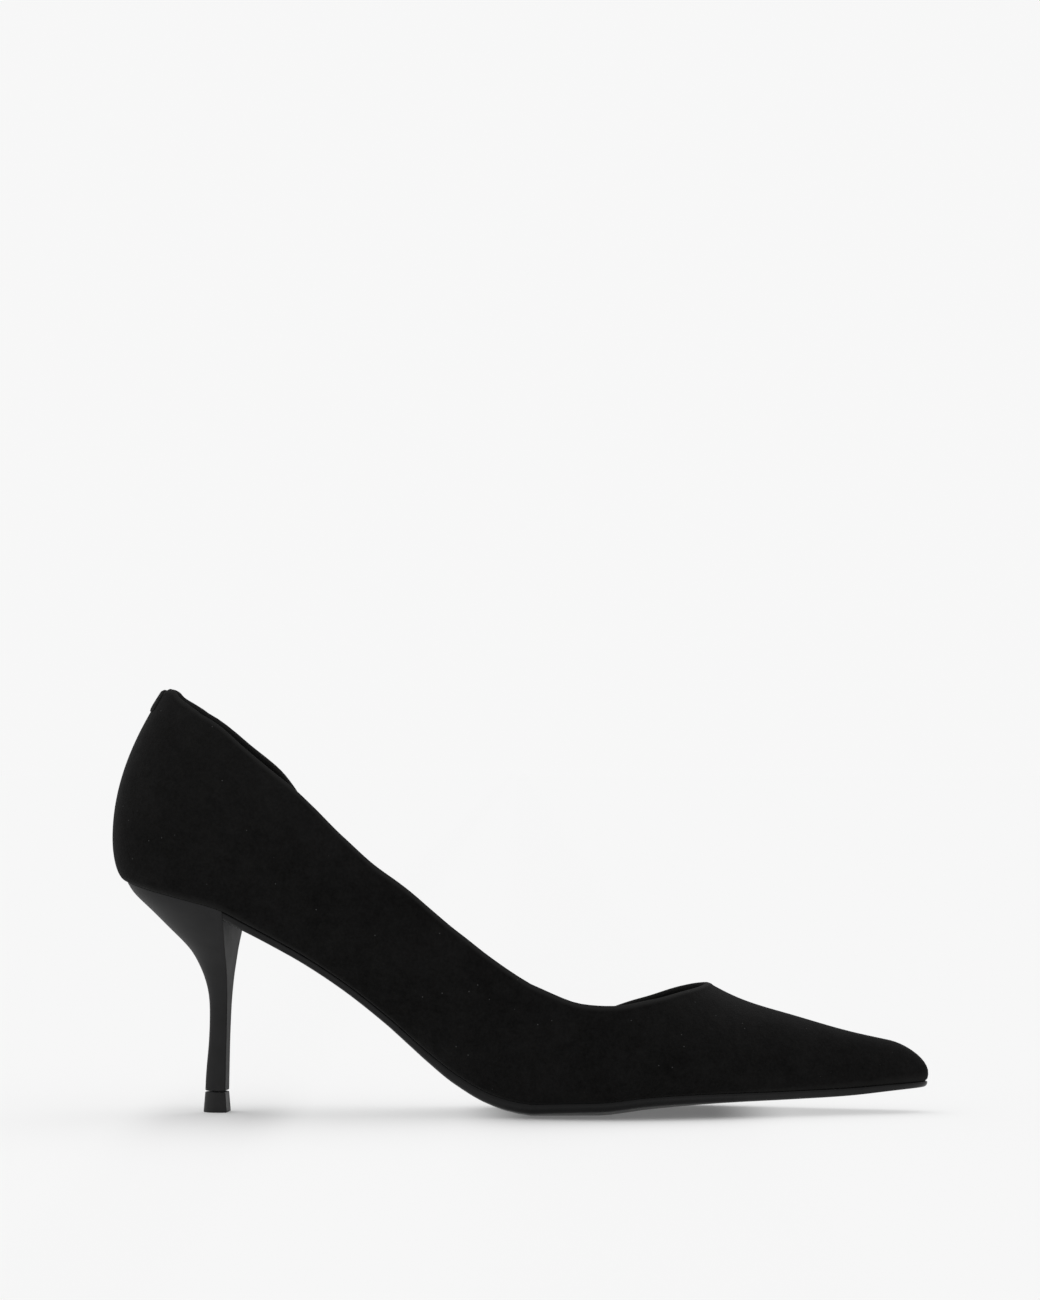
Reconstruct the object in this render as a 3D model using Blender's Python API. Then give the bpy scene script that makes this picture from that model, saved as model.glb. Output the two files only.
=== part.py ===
"""Half d'Orsay pump for the right foot: pointed toe, slim curved heel, inner side cut away.

Metres, +Z up, +X towards the toe, +Y towards the inner side of the foot. Shapes are worked out in last
coordinates, with x from the back of the upper and z from the floor, and moved to the box's centre at the end.
"""

import math

import bmesh
import bpy
import numpy as np

# Sizes of the shoe
SHOE_LENGTH = 0.248  # back of the upper to the tip of the toe
BALL_WIDTH = 0.079  # upper at its widest
SEAT_WIDTH = 0.056  # upper round the heel
SEAT_HEIGHT = 0.0715  # floor to the upper's underside at the back
BACK_HEIGHT = 0.0557  # from there to the topline at the back seam
THROAT_HEIGHT = 0.0336  # feather edge to the top of the vamp at the throat
VAMP_LENGTH = 0.0675  # throat to the tip of the toe
TOE_SPRING = 0.0060  # rise of the sole's tip
TOE_NOSE = 0.012  # length of the rounding at the tip
ARCH_LIFT = 0.0025  # rise of the bottom towards the inner side, at the waist
CAMBER = 0.0018  # rise of the bottom towards both edges, beside its flat middle
FLAT_WIDTH = 0.030  # of that middle

# Thicknesses and clearances
UPPER_WALL = 0.0018
LASTING_MARGIN = 0.0065  # upper turned in under the insole
INSOLE_THICKNESS = 0.0025
SOLE_THICKNESS = 0.003  # at the ball
WAIST_THICKNESS = 0.0021  # sole under the arch
TIP_THICKNESS = 0.0013  # sole at the tip of the toe
EDGE_THINNING = 0.0006  # how much thinner the sole is at the sides of the ball
SOLE_EDGE_RADIUS = 0.0011
SOLE_LEDGE = 0.0007  # sole beyond the feather edge in the forepart
WAIST_INSET = 0.0009  # sole inside the feather edge at the waist
WAIST_PITCH = 0.3  # share of the climb from ball to seat by which the sole has its waist's sizes
CLEARANCE = 0.0003  # between pieces that meet

# The heel and its top lift
BREAST_X = 0.0347  # back of the upper to the outer corner of the breast
BREAST_SKEW = 0.0048  # inner corner of the breast ahead of the outer one
STEM_FORWARD = 0.0004  # breast of the stem ahead of the breast at the seat
STEM_DEPTH = 0.0057
STEM_WIDTH = 0.0082
TOP_LIFT_HEIGHT = 0.0062
TOP_LIFT_FLARE = 0.0005  # top lift's foot beyond the heel, all round

# The tab over the back seam
TAB_WIDTH = 0.010
TAB_OUTSIDE = 0.0074  # down the outside
TAB_INSIDE = 0.005  # down the inside
TAB_THICKNESS = 0.0006

SIDEWAYS = {"lateral": -1, "medial": 1}  # outer and inner side of the foot, along Y

# Sections of the last. x is a share of the length. front blends the sizes that the other shares follow,
# from 0 (seat width, back height) to 1 (ball width, throat height). axis is where the ridge lies, as a share
# of the ball width. lateral and medial are half widths from the axis, and the tucks how far the feather edge
# lies inside them, all as shares of the blended width. bulge and ridge are the heights of the widest line and
# of the foot's ridge above the feather edge, as shares of the blended height. lean is 1 for a wall that leans
# in as a parabola and 2 for an ellipse.
SECTION_COLUMNS = "x front axis lateral medial tuck_lateral tuck_medial bulge ridge lean".split()
SECTIONS = (
    (0.000, 0.00, 0.000, 0.500, 0.500, 0.079, 0.079, 0.210, 1.345, 0.86),
    (0.056, 0.00, 0.000, 0.500, 0.500, 0.066, 0.066, 0.245, 1.430, 0.90),
    (0.113, 0.00, 0.000, 0.497, 0.494, 0.055, 0.057, 0.275, 1.500, 0.97),
    (0.180, 0.10, 0.003, 0.475, 0.443, 0.068, 0.087, 0.311, 1.525, 1.17),
    (0.250, 0.25, 0.006, 0.445, 0.373, 0.088, 0.120, 0.352, 1.570, 1.40),
    (0.320, 0.42, 0.010, 0.424, 0.318, 0.093, 0.136, 0.383, 1.712, 1.55),
    (0.385, 0.60, 0.013, 0.424, 0.312, 0.088, 0.130, 0.374, 1.898, 1.65),
    (0.445, 0.75, 0.019, 0.458, 0.349, 0.075, 0.110, 0.332, 2.052, 1.70),
    (0.505, 0.88, 0.028, 0.503, 0.408, 0.060, 0.085, 0.300, 2.066, 1.72),
    (0.565, 0.97, 0.038, 0.537, 0.450, 0.051, 0.063, 0.280, 1.902, 1.72),
    (0.605, 1.00, 0.043, 0.544, 0.457, 0.047, 0.050, 0.265, 1.710, 1.70),
    (0.645, 1.00, 0.044, 0.530, 0.454, 0.043, 0.045, 0.240, 1.440, 1.68),
    (0.705, 1.00, 0.043, 0.476, 0.413, 0.036, 0.039, 0.205, 1.100, 1.65),
    (0.765, 1.00, 0.037, 0.393, 0.344, 0.029, 0.033, 0.173, 0.833, 1.65),
    (0.825, 1.00, 0.029, 0.303, 0.267, 0.024, 0.028, 0.146, 0.672, 1.68),
    (0.885, 1.00, 0.023, 0.215, 0.194, 0.020, 0.022, 0.122, 0.529, 1.75),
    (0.945, 1.00, 0.018, 0.139, 0.130, 0.016, 0.017, 0.099, 0.400, 1.85),
    (1.000, 1.00, 0.015, 0.086, 0.086, 0.013, 0.013, 0.072, 0.290, 2.00),
)

# The bottom of the last in side view. pitch is a share of the rise from ball to seat, spring of the toe's.
BOTTOM_COLUMNS = "x pitch spring".split()
BOTTOM = (
    (0.000, 1.000, 0.000),
    (0.041, 0.955, 0.000),
    (0.087, 0.910, 0.000),
    (0.133, 0.865, 0.000),
    (0.170, 0.801, 0.000),
    (0.203, 0.741, 0.000),
    (0.242, 0.664, 0.000),
    (0.291, 0.548, 0.000),
    (0.340, 0.407, 0.000),
    (0.389, 0.243, 0.000),
    (0.425, 0.135, 0.000),
    (0.462, 0.053, 0.000),
    (0.492, 0.014, 0.000),
    (0.516, 0.000, 0.000),
    (0.595, 0.000, 0.000),
    (0.620, 0.000, 0.100),
    (0.650, 0.000, 0.260),
    (0.730, 0.000, 0.510),
    (0.826, 0.000, 0.680),
    (0.900, 0.000, 0.780),
    (0.960, 0.000, 0.930),
    (1.000, 0.000, 1.000),
)

# Height of the topline on each side above the feather edge, as a share of the ridge height of its section.
# x is a share of the way from the back to the throat.
TOPLINE_COLUMNS = "x lateral medial".split()
TOPLINE = (
    (0.000, 0.752, 0.752),
    (0.045, 0.752, 0.752),
    (0.077, 0.736, 0.738),
    (0.115, 0.706, 0.712),
    (0.155, 0.677, 0.686),
    (0.190, 0.657, 0.662),
    (0.220, 0.640, 0.647),
    (0.275, 0.612, 0.616),
    (0.305, 0.600, 0.580),
    (0.343, 0.577, 0.455),
    (0.392, 0.538, 0.304),
    (0.446, 0.516, 0.196),
    (0.522, 0.533, 0.136),
    (0.591, 0.535, 0.122),
    (0.652, 0.522, 0.140),
    (0.714, 0.491, 0.192),
    (0.769, 0.486, 0.284),
    (0.838, 0.540, 0.462),
    (0.905, 0.660, 0.632),
    (0.962, 0.822, 0.820),
    (0.984, 0.888, 0.890),
    (1.000, 1.000, 1.000),
)

# Heel sections from the seat down. rear and fore are heights at the back and at the breast, as shares of the
# seat's height there. back and front are how far the back and the breast have moved from the seat's to the
# stem's, and slim how far the width has narrowed.
HEEL_COLUMNS = "rear fore back front slim".split()
HEEL = (
    (0.946, 0.960, 0.096, 0.12, 0.08),
    (0.882, 0.905, 0.280, 0.30, 0.22),
    (0.816, 0.850, 0.467, 0.46, 0.38),
    (0.756, 0.795, 0.638, 0.62, 0.53),
    (0.700, 0.740, 0.780, 1.05, 0.67),
    (0.640, 0.685, 0.878, 1.25, 0.79),
    (0.577, 0.625, 0.950, 1.30, 0.88),
    (0.500, 0.550, 0.998, 1.15, 0.95),
    (0.410, 0.460, 1.008, 0.85, 0.985),
    (0.300, 0.345, 0.997, 0.40, 1.00),
    (0.190, 0.220, 0.970, 0.00, 1.00),
)
FOOT_BACK = 0.955  # back and front at the top lift
FOOT_FRONT = -0.35

# Mesh density
FAN_STEPS = 8
SEAT_STEPS = 1
SIDE_STEPS = 14
TOE_STEPS = 15
TOE_GATHER = 1.6  # how much closer the lines stand towards the tip of the toe
WALL_ROWS = 15
ROW_GATHER = 1.35  # how much closer the rows stand towards the feather edge
CROSS_STEPS = 6
EDGE_TURNS = 4  # points round the sole's lower corner
TAB_STEPS = 4
DENSE = 60
MERGE = 2e-6  # points closer than this become one


def natural_spline(knots, values):
    """A smooth curve through the points, with no bend at its ends."""
    knots, values = np.asarray(knots, float), np.asarray(values, float)
    gaps = np.diff(knots)
    count = len(knots)
    matrix = np.eye(count)
    right = np.zeros(count)
    for i in range(1, count - 1):
        matrix[i, i - 1 : i + 2] = gaps[i - 1], 2 * (gaps[i - 1] + gaps[i]), gaps[i]
        right[i] = 6 * ((values[i + 1] - values[i]) / gaps[i] - (values[i] - values[i - 1]) / gaps[i - 1])
    bends = np.linalg.solve(matrix, right)

    def curve(x):
        x = np.clip(x, knots[0], knots[-1])
        i = np.clip(np.searchsorted(knots, x) - 1, 0, count - 2)
        gap, ahead, behind = gaps[i], knots[i + 1] - x, x - knots[i]
        bend = (bends[i] * ahead**3 + bends[i + 1] * behind**3) / (6 * gap)
        start = (values[i] / gap - bends[i] * gap / 6) * ahead
        return bend + start + (values[i + 1] / gap - bends[i + 1] * gap / 6) * behind

    return curve


def gentle_curve(knots, values):
    """A curve through the points that never swings past them."""
    knots, values = np.asarray(knots, float), np.asarray(values, float)
    rises = np.diff(values) / np.diff(knots)
    slopes = np.zeros(len(knots))
    same_way = rises[:-1] * rises[1:] > 0
    middle = 2 * rises[:-1] * rises[1:] / np.where(same_way, rises[:-1] + rises[1:], 1)
    slopes[1:-1] = np.where(same_way, middle, 0)
    slopes[0], slopes[-1] = rises[0], rises[-1]

    def curve(x):
        x = np.clip(x, knots[0], knots[-1])
        i = np.clip(np.searchsorted(knots, x) - 1, 0, len(knots) - 2)
        gap = knots[i + 1] - knots[i]
        t = (x - knots[i]) / gap
        start = (1 + 2 * t) * (1 - t) ** 2 * values[i] + t * (1 - t) ** 2 * gap * slopes[i]
        return start + t**2 * (3 - 2 * t) * values[i + 1] - t**2 * (1 - t) * gap * slopes[i + 1]

    return curve


def columns_of(names, rows, length, make_curve):
    """One curve for each named column of a table, against the length that its x is a share of."""
    table = np.array(rows)
    return {name: make_curve(table[:, 0] * length, table[:, i]) for i, name in enumerate(names) if i}


HEEL_CENTRE_X = SEAT_WIDTH / 2
THROAT_X = SHOE_LENGTH - VAMP_LENGTH
TURN_SHARE = 0.665  # of the way to the throat, from where the upper's lines lean towards it
TURN_X = TURN_SHARE * THROAT_X
NOSE_X = SHOE_LENGTH - TOE_NOSE
section = columns_of(SECTION_COLUMNS, SECTIONS, SHOE_LENGTH, natural_spline)
bottom_line = columns_of(BOTTOM_COLUMNS, BOTTOM, SHOE_LENGTH, gentle_curve)
topline = columns_of(TOPLINE_COLUMNS, TOPLINE, THROAT_X, gentle_curve)


def width_at(x):
    return SEAT_WIDTH + (BALL_WIDTH - SEAT_WIDTH) * section["front"](x)


def height_at(x):
    return BACK_HEIGHT + (THROAT_HEIGHT - BACK_HEIGHT) * section["front"](x)


def axis_y(x):
    return BALL_WIDTH * section["axis"](x)


def nose(x, wall):
    """1 along the shoe, falling as a quarter ellipse to 0 at the tip of the toe."""
    return np.sqrt(1 - np.clip((x - NOSE_X) / (TOE_NOSE - wall), 0, 1) ** 2)


def half_width(x, side, wall):
    return (width_at(x) * section[side](x) - wall) * nose(x, wall)


def tuck(x, side):
    return width_at(x) * section["tuck_" + side](x)


def bulge_height(x):
    return height_at(x) * section["bulge"](x)


def ridge_height(x, wall):
    return height_at(x) * section["ridge"](x) - wall


def topline_height(x, side):
    return topline[side](x) * ridge_height(x, 0)


def camber_share(x, y):
    """0 over the flat middle, rising to about 1 at the sides of the ball."""
    return np.maximum(0, (abs(y - axis_y(x)) - FLAT_WIDTH / 2) / (BALL_WIDTH - FLAT_WIDTH) * 2) ** 2


def feather_z(x, y):
    """The bottom of the last, which is the underside of the lasted upper."""
    rise = SEAT_HEIGHT - SOLE_THICKNESS - CLEARANCE
    pitch = bottom_line["pitch"](x)
    level = SOLE_THICKNESS + CLEARANCE + rise * pitch + TOE_SPRING * bottom_line["spring"](x)
    arch = (4 * pitch * (1 - pitch)) ** 2
    inward = (y - axis_y(x)) / BALL_WIDTH * 2
    return level + ARCH_LIFT * arch * inward + CAMBER * camber_share(x, y)


def bottom_point(plan, up):
    """The points over or under plan points, at a distance measured square to the bottom."""
    x, y = plan[..., 0], plan[..., 1]
    step = SHOE_LENGTH / 1000
    slope = (feather_z(x + step, y) - feather_z(x - step, y)) / (2 * step)
    return np.stack([x, y, feather_z(x, y) + up * np.sqrt(1 + slope**2)], axis=-1)


def plan_frame(x, side):
    """Plan origin and direction of a section: they fan round the heel and run straight across elsewhere."""
    turn = np.arccos(1 - np.clip(x / HEEL_CENTRE_X, 0, 1))
    middle = np.maximum(x, HEEL_CENTRE_X)
    origin = np.stack([middle, axis_y(middle)], axis=-1)
    return origin, np.stack([-np.cos(turn), SIDEWAYS[side] * np.sin(turn)], axis=-1)


def dome_height(x, reach, side, wall):
    """Height above the feather edge of the skin over the widest line, at a distance from the axis."""
    widest, bulge = np.maximum(half_width(x, side, wall), MERGE), bulge_height(x)
    share = np.minimum(1, reach / widest)
    return bulge + (ridge_height(x, wall) - bulge) * nose(x, wall) * np.sqrt(1 - share ** section["lean"](x))


def topline_reach(x, side, wall):
    """Distance from the axis to the topline."""
    bulge = bulge_height(x)
    share = (topline_height(x, side) - bulge) / (ridge_height(x, 0) - bulge)
    return half_width(x, side, wall) * (1 - np.clip(share, 0, 1) ** 2) ** (1 / section["lean"](x))


def station_starts(side):
    """Where the wall's lines start on one side, from the back seam to the tip of the toe."""
    fan = HEEL_CENTRE_X * (1 - np.cos(np.arange(FAN_STEPS) / FAN_STEPS * math.pi / 2))
    breast = BREAST_X + (BREAST_SKEW if side == "medial" else 0)
    seat = np.linspace(HEEL_CENTRE_X, breast, SEAT_STEPS, endpoint=False)
    waist = np.linspace(breast, TURN_X, SIDE_STEPS, endpoint=False)
    toe = SHOE_LENGTH - (SHOE_LENGTH - TURN_X) * np.linspace(1, 0, TOE_STEPS + 1) ** TOE_GATHER
    return [*fan, *seat, *waist, *toe]


BREAST_STATION = FAN_STEPS + SEAT_STEPS
LAST_STATION = BREAST_STATION + SIDE_STEPS + TOE_STEPS


def topline_x(x):
    """Where the line that starts at x ends on the topline: they gather towards the throat."""
    if x <= TURN_X:
        return x
    gather = (SHOE_LENGTH - TURN_X) / (THROAT_X - TURN_X)
    return THROAT_X - (THROAT_X - TURN_X) * ((SHOE_LENGTH - x) / (SHOE_LENGTH - TURN_X)) ** gather


def unit(vector):
    return vector / np.linalg.norm(vector)


def feather_plan(x, side, wall):
    """Plan points of the widest line and the feather edge, and the direction from one to the other."""
    start = NOSE_X + (x - NOSE_X) * (TOE_NOSE - wall) / TOE_NOSE if x > NOSE_X else x
    origin, direction = plan_frame(start, side)
    widest = origin + half_width(start, side, wall) * direction
    target, _ = plan_frame(topline_x(x), side)
    inside = unit(target - widest)
    return start, widest, widest + tuck(start, side) * inside, inside


def skin_path(x, side, wall):
    """The upper's skin from the feather edge to the topline. wall is its depth under the outside."""
    start, widest, feather, inside = feather_plan(x, side, wall)
    end = topline_x(x)
    low = bottom_point(feather, wall)[2]
    level = feather_z(start, axis_y(start)) + bulge_height(start)
    cut = feather_z(end, axis_y(end)) + topline_height(end, side)
    last_turn = math.asin(min(1, max(0, (level - cut) / (level - low)))) if cut < level and x <= TURN_X else 0
    turns = np.linspace(math.pi / 2, last_turn, DENSE)[:, None]
    arc = np.hstack([feather + (widest - feather) * np.cos(turns), level - (level - low) * np.sin(turns)])
    if last_turn:
        return arc
    steps = (np.linspace(0, 1, 2 * DENSE) ** 2)[1:]
    at = start + (end - start) * steps
    reach = half_width(start, side, wall) * (1 - steps) + topline_reach(end, side, wall) * steps
    origins, directions = plan_frame(at, side)
    heights = feather_z(at, axis_y(at)) + dome_height(at, reach, side, wall)
    return np.concatenate([arc, np.column_stack([origins + reach[:, None] * directions, heights])])


def spread(path, shares):
    """Points at these shares of a path's length."""
    lengths = np.concatenate([[0], np.cumsum(np.linalg.norm(np.diff(path, axis=0), axis=1))])
    return np.stack([np.interp(shares * lengths[-1], lengths, path[:, i]) for i in range(3)], axis=1)


def skin_line(x, side, wall):
    """The end of the lasting margin, then the skin up to the topline, closer together at the feather edge."""
    _, _, feather, inside = feather_plan(x, side, wall)
    margin = bottom_point(feather + LASTING_MARGIN * inside, wall)
    shares = np.linspace(0, 1, WALL_ROWS) ** ROW_GATHER
    return np.concatenate([[margin], spread(skin_path(x, side, wall), shares)])


STATIONS = [(x, "lateral") for x in station_starts("lateral")]
STATIONS += [(x, "medial") for x in station_starts("medial")[-2:0:-1]]


def opposite(i):
    """The station across the shoe from station i."""
    return -i % len(STATIONS)


def feather_edge():
    """Plan points of the feather edge, with the directions out of the shoe and into it, for each station."""
    points = [feather_plan(x, side, 0) for x, side in STATIONS]
    edge = np.array([point[2] for point in points])
    along = np.roll(edge, -1, axis=0) - np.roll(edge, 1, axis=0)
    out = [unit(np.array([step[1], -step[0]])) for step in along]
    return edge, np.array(out), np.array([point[3] for point in points])


EDGE, EDGE_OUT, EDGE_IN = feather_edge()


def mapped_grid(mesh, points):
    """Adds a grid whose corners are an array of points."""
    across, up = points.shape[0] - 1, points.shape[1] - 1
    made = bmesh.ops.create_grid(mesh, x_segments=across, y_segments=up, size=0.5)
    for vert in made["verts"]:
        vert.co = points[round((vert.co.x + 0.5) * across), round((vert.co.y + 0.5) * up)]


def add_piece(name, grids, material, origin):
    """An object whose skin is the grids, joined where they meet, with a face over each end left open."""
    mesh = bmesh.new()
    for points in grids:
        mapped_grid(mesh, np.asarray(points) - origin)
    bmesh.ops.remove_doubles(mesh, verts=mesh.verts, dist=MERGE)
    bmesh.ops.dissolve_degenerate(mesh, edges=mesh.edges, dist=MERGE / 2)
    bmesh.ops.holes_fill(mesh, edges=mesh.edges, sides=0)
    bmesh.ops.recalc_face_normals(mesh, faces=mesh.faces)
    data = bpy.data.meshes.new(name)
    mesh.to_mesh(data)
    mesh.free()
    data.shade_smooth()
    data.set_sharp_from_angle(angle=math.radians(40))
    data.materials.append(material)
    piece = bpy.data.objects.new(name, data)
    bpy.context.scene.collection.objects.link(piece)
    return piece


def add_material(name, colour, roughness):
    material = bpy.data.materials.new(name)
    material.use_nodes = True
    shader = material.node_tree.nodes["Principled BSDF"]
    shader.inputs["Base Color"].default_value = (*colour, 1)
    shader.inputs["Roughness"].default_value = roughness
    return material


def upper_grids():
    """Each station's wall as one closed loop: up the outside, over the topline and down the inside."""
    outer = np.array([skin_line(x, side, 0) for x, side in STATIONS])
    inner = np.array([skin_line(x, side, UPPER_WALL) for x, side in STATIONS])
    loops = np.concatenate([outer, inner[:, ::-1], outer[:, :1]], axis=1)
    return [np.concatenate([loops, loops[:1]])]


def between(start, end, steps):
    share = np.linspace(0, 1, steps + 1)[:, None]
    return start + (end - start) * share


def across(start, end, up):
    """Points from one side of the shoe to the other. up gives their heights over the bottom of the last."""
    plans = between(start[:2], end[:2], CROSS_STEPS)
    return bottom_point(plans, up(plans))


def plate_loop(outer_edge, inner_edge, top, low):
    """A closed loop across a plate, with its top and its underside at heights over the bottom of the last.

    Each edge is a path from the top to the underside on one side of the shoe."""
    over = across(outer_edge[0], inner_edge[0], top)
    under = across(inner_edge[-1], outer_edge[-1], low)
    return np.concatenate([over, inner_edge[1:-1], under, outer_edge[-2:0:-1], over[:1]])


def insole_underside(plan):
    return UPPER_WALL + CLEARANCE


def insole_top(plan):
    return UPPER_WALL + CLEARANCE + INSOLE_THICKNESS


def insole_edge(i):
    plan = EDGE[i] - (UPPER_WALL + CLEARANCE) * EDGE_OUT[i]
    return np.array([bottom_point(plan, insole_top(plan)), bottom_point(plan, insole_underside(plan))])


def insole_grids():
    """The insole lies on the turned-in margin, clear of the wall all round."""
    loops = []
    for i in range(LAST_STATION + 1):
        loops.append(plate_loop(insole_edge(i), insole_edge(opposite(i)), insole_top, insole_underside))
    return [loops]


def waist_share(x):
    """0 in the forepart and 1 in the waist, from the first part of the bottom's climb."""
    return np.minimum(1, bottom_line["pitch"](x) / WAIST_PITCH)


def sole_underside(plan):
    """How far the underside lies below the last: most at the ball, less under the arch, at the toe and the edges."""
    x, y = plan[..., 0], plan[..., 1]
    tip = bottom_line["spring"](x) ** 2
    thinning = (SOLE_THICKNESS - WAIST_THICKNESS) * waist_share(x) + (SOLE_THICKNESS - TIP_THICKNESS) * tip
    return -CLEARANCE - SOLE_THICKNESS + thinning + EDGE_THINNING * camber_share(x, y)


def sole_top(plan):
    return -CLEARANCE


def sole_edge(i, ahead):
    """Top to bottom of the sole's edge at a station, with its lower corner rounded."""
    x, _ = STATIONS[i]
    ledge = SOLE_LEDGE - (SOLE_LEDGE + WAIST_INSET) * waist_share(x)
    start = EDGE[i] + ledge * EDGE_OUT[i] + np.array([ahead, 0])
    edge = [bottom_point(start, sole_top(start))]
    for turn in np.linspace(0, math.pi / 2, EDGE_TURNS):
        plan = start + SOLE_EDGE_RADIUS * (1 - math.cos(turn)) * EDGE_IN[i]
        edge.append(bottom_point(plan, sole_underside(plan) + SOLE_EDGE_RADIUS * (1 - math.sin(turn))))
    return np.array(edge)


def outsole_grids():
    """From the breast of the heel to the tip of the toe."""
    loops = []
    for i in range(BREAST_STATION, LAST_STATION + 1):
        ahead = 2 * CLEARANCE if i == BREAST_STATION else 0
        loops.append(plate_loop(sole_edge(i, ahead), sole_edge(opposite(i), ahead), sole_top, sole_underside))
    return [loops]


def seat_ring():
    """The heel's top outline from the breast's outer corner round the back to its inner corner."""
    return bottom_point(EDGE[np.arange(BREAST_STATION, -BREAST_STATION - 1, -1)], -CLEARANCE)


def heel_ring(rear_z, fore_z, back, front, slim):
    """A section of the heel: the seat's outline drawn in towards the stem's."""
    seat = seat_ring()
    low, high = seat.min(0), seat.max(0)
    middle, width = (low[1] + high[1]) / 2, high[1] - low[1]
    narrow = 1 - slim + slim * STEM_WIDTH / width
    across = (seat[:, 1] - seat[0, 1]) / (seat[-1, 1] - seat[0, 1])
    breast = seat[0, 0] + (seat[-1, 0] - seat[0, 0]) * across
    along = (seat[:, 0] - low[0]) / (breast - low[0])
    stem_front = seat[0, 0] + STEM_FORWARD
    back_x = low[0] + (stem_front - STEM_DEPTH - low[0]) * back
    front_x = seat[0, 0] + STEM_FORWARD * front + (breast - seat[0, 0]) * narrow
    z = rear_z + (fore_z - rear_z) * along
    return np.stack([back_x + (front_x - back_x) * along, middle + (seat[:, 1] - middle) * narrow, z], axis=1)


def closed_ring(ring):
    """The ring with the breast across its ends."""
    return np.concatenate([ring, between(ring[-1], ring[0], CROSS_STEPS)[1:]])


def cover(ring):
    """Strips across a ring, from its breast to its back."""
    half = len(ring) // 2
    return [between(ring[k], ring[-1 - k], CROSS_STEPS) for k in range(half + 1)]


def heel_foot():
    """The heel's last section, on the top lift."""
    height = TOP_LIFT_HEIGHT + CLEARANCE
    return heel_ring(height, height, FOOT_BACK, FOOT_FRONT, HEEL[-1][-1])


def heel_grids():
    seat = seat_ring()
    rings = [seat]
    for row in HEEL:
        size = dict(zip(HEEL_COLUMNS, row))
        rear_z, fore_z = size["rear"] * seat[BREAST_STATION, 2], size["fore"] * seat[0, 2]
        rings.append(heel_ring(rear_z, fore_z, size["back"], size["front"], size["slim"]))
    rings.append(heel_foot())
    return [[closed_ring(ring) for ring in rings], cover(seat)]


def top_lift_grids():
    """Under the heel, a little wider at the floor."""
    foot = heel_foot()
    middle = (foot.min(0) + foot.max(0)) / 2
    rings = []
    for z, flare in ((TOP_LIFT_HEIGHT, 0.0), (0.0, TOP_LIFT_FLARE)):
        ring = foot.copy()
        ring[:, :2] += flare * np.sign(np.round(foot[:, :2] - middle[:2], 4))
        ring[:, 2] = z
        rings.append(closed_ring(ring))
    return [rings]


def moved_out(line, distance):
    """A line across the wall's edge, from outside to inside, moved away from the wall. Columns: reach, height."""
    steps = np.diff(line, axis=0)
    normals = np.stack([steps[:, 1], -steps[:, 0]], axis=1) / np.linalg.norm(steps, axis=1)[:, None]
    before, after = np.concatenate([normals[:1], normals]), np.concatenate([normals, normals[-1:]])
    middle = (before + after) / 2
    return line + distance * middle / (middle**2).sum(1)[:, None]


def tab_loop(turn):
    """The tab's section at an angle from the back seam: a clip over the topline."""
    side = "medial" if turn > 0 else "lateral"
    x = HEEL_CENTRE_X * (1 - math.cos(turn))
    origin, direction = plan_frame(x, side)
    halves = []
    for wall, length in ((0, TAB_OUTSIDE), (UPPER_WALL, TAB_INSIDE)):
        path = skin_path(x, side, wall)
        full = np.linalg.norm(np.diff(path, axis=0), axis=1).sum()
        points = spread(path, np.linspace(1 - length / full, 1, TAB_STEPS))
        halves.append(np.stack([(points[:, :2] - origin) @ direction, points[:, 2]], axis=1))
    line = np.concatenate([halves[0], halves[1][::-1]])
    near, far = moved_out(line, CLEARANCE), moved_out(line, CLEARANCE + TAB_THICKNESS)
    loop = np.concatenate([near, far[::-1], near[:1]])
    return np.column_stack([origin + loop[:, :1] * direction, loop[:, 1]])


def back_tab_grids():
    widest = TAB_WIDTH / 2 / topline_reach(0, "lateral", 0)
    return [[tab_loop(turn) for turn in np.linspace(-widest, widest, 2 * TAB_STEPS + 1)]]


def main():
    for old in list(bpy.data.objects):
        bpy.data.objects.remove(old)
    upper = upper_grids()
    corners = upper[0].reshape(-1, 3)
    origin = (corners.min(0) + corners.max(0)) / 2
    origin[2] = 0
    suede = add_material("suede", (0.010, 0.010, 0.011), 0.95)
    sock = add_material("sock", (0.014, 0.013, 0.011), 0.60)
    lacquer = add_material("heel_lacquer", (0.014, 0.014, 0.015), 0.30)
    rubber = add_material("rubber", (0.020, 0.020, 0.021), 0.55)
    add_piece("upper", upper, suede, origin)
    add_piece("back_tab", back_tab_grids(), suede, origin)
    add_piece("insole", insole_grids(), sock, origin)
    add_piece("outsole", outsole_grids(), rubber, origin)
    add_piece("heel", heel_grids(), lacquer, origin)
    add_piece("top_lift", top_lift_grids(), rubber, origin)


main()
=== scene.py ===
"""Half d'Orsay pump for the right foot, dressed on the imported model.

It has a suede upper with its lining and sock, a tab over the back seam, a sole, a covered heel and its
top lift.

Metres, +Z up, +X towards the toe, +Y towards the inner side of the foot. Shapes are worked out in last
coordinates, with x from the back of the upper and z from the floor, and moved to the frame at the end.
"""

import math

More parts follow.
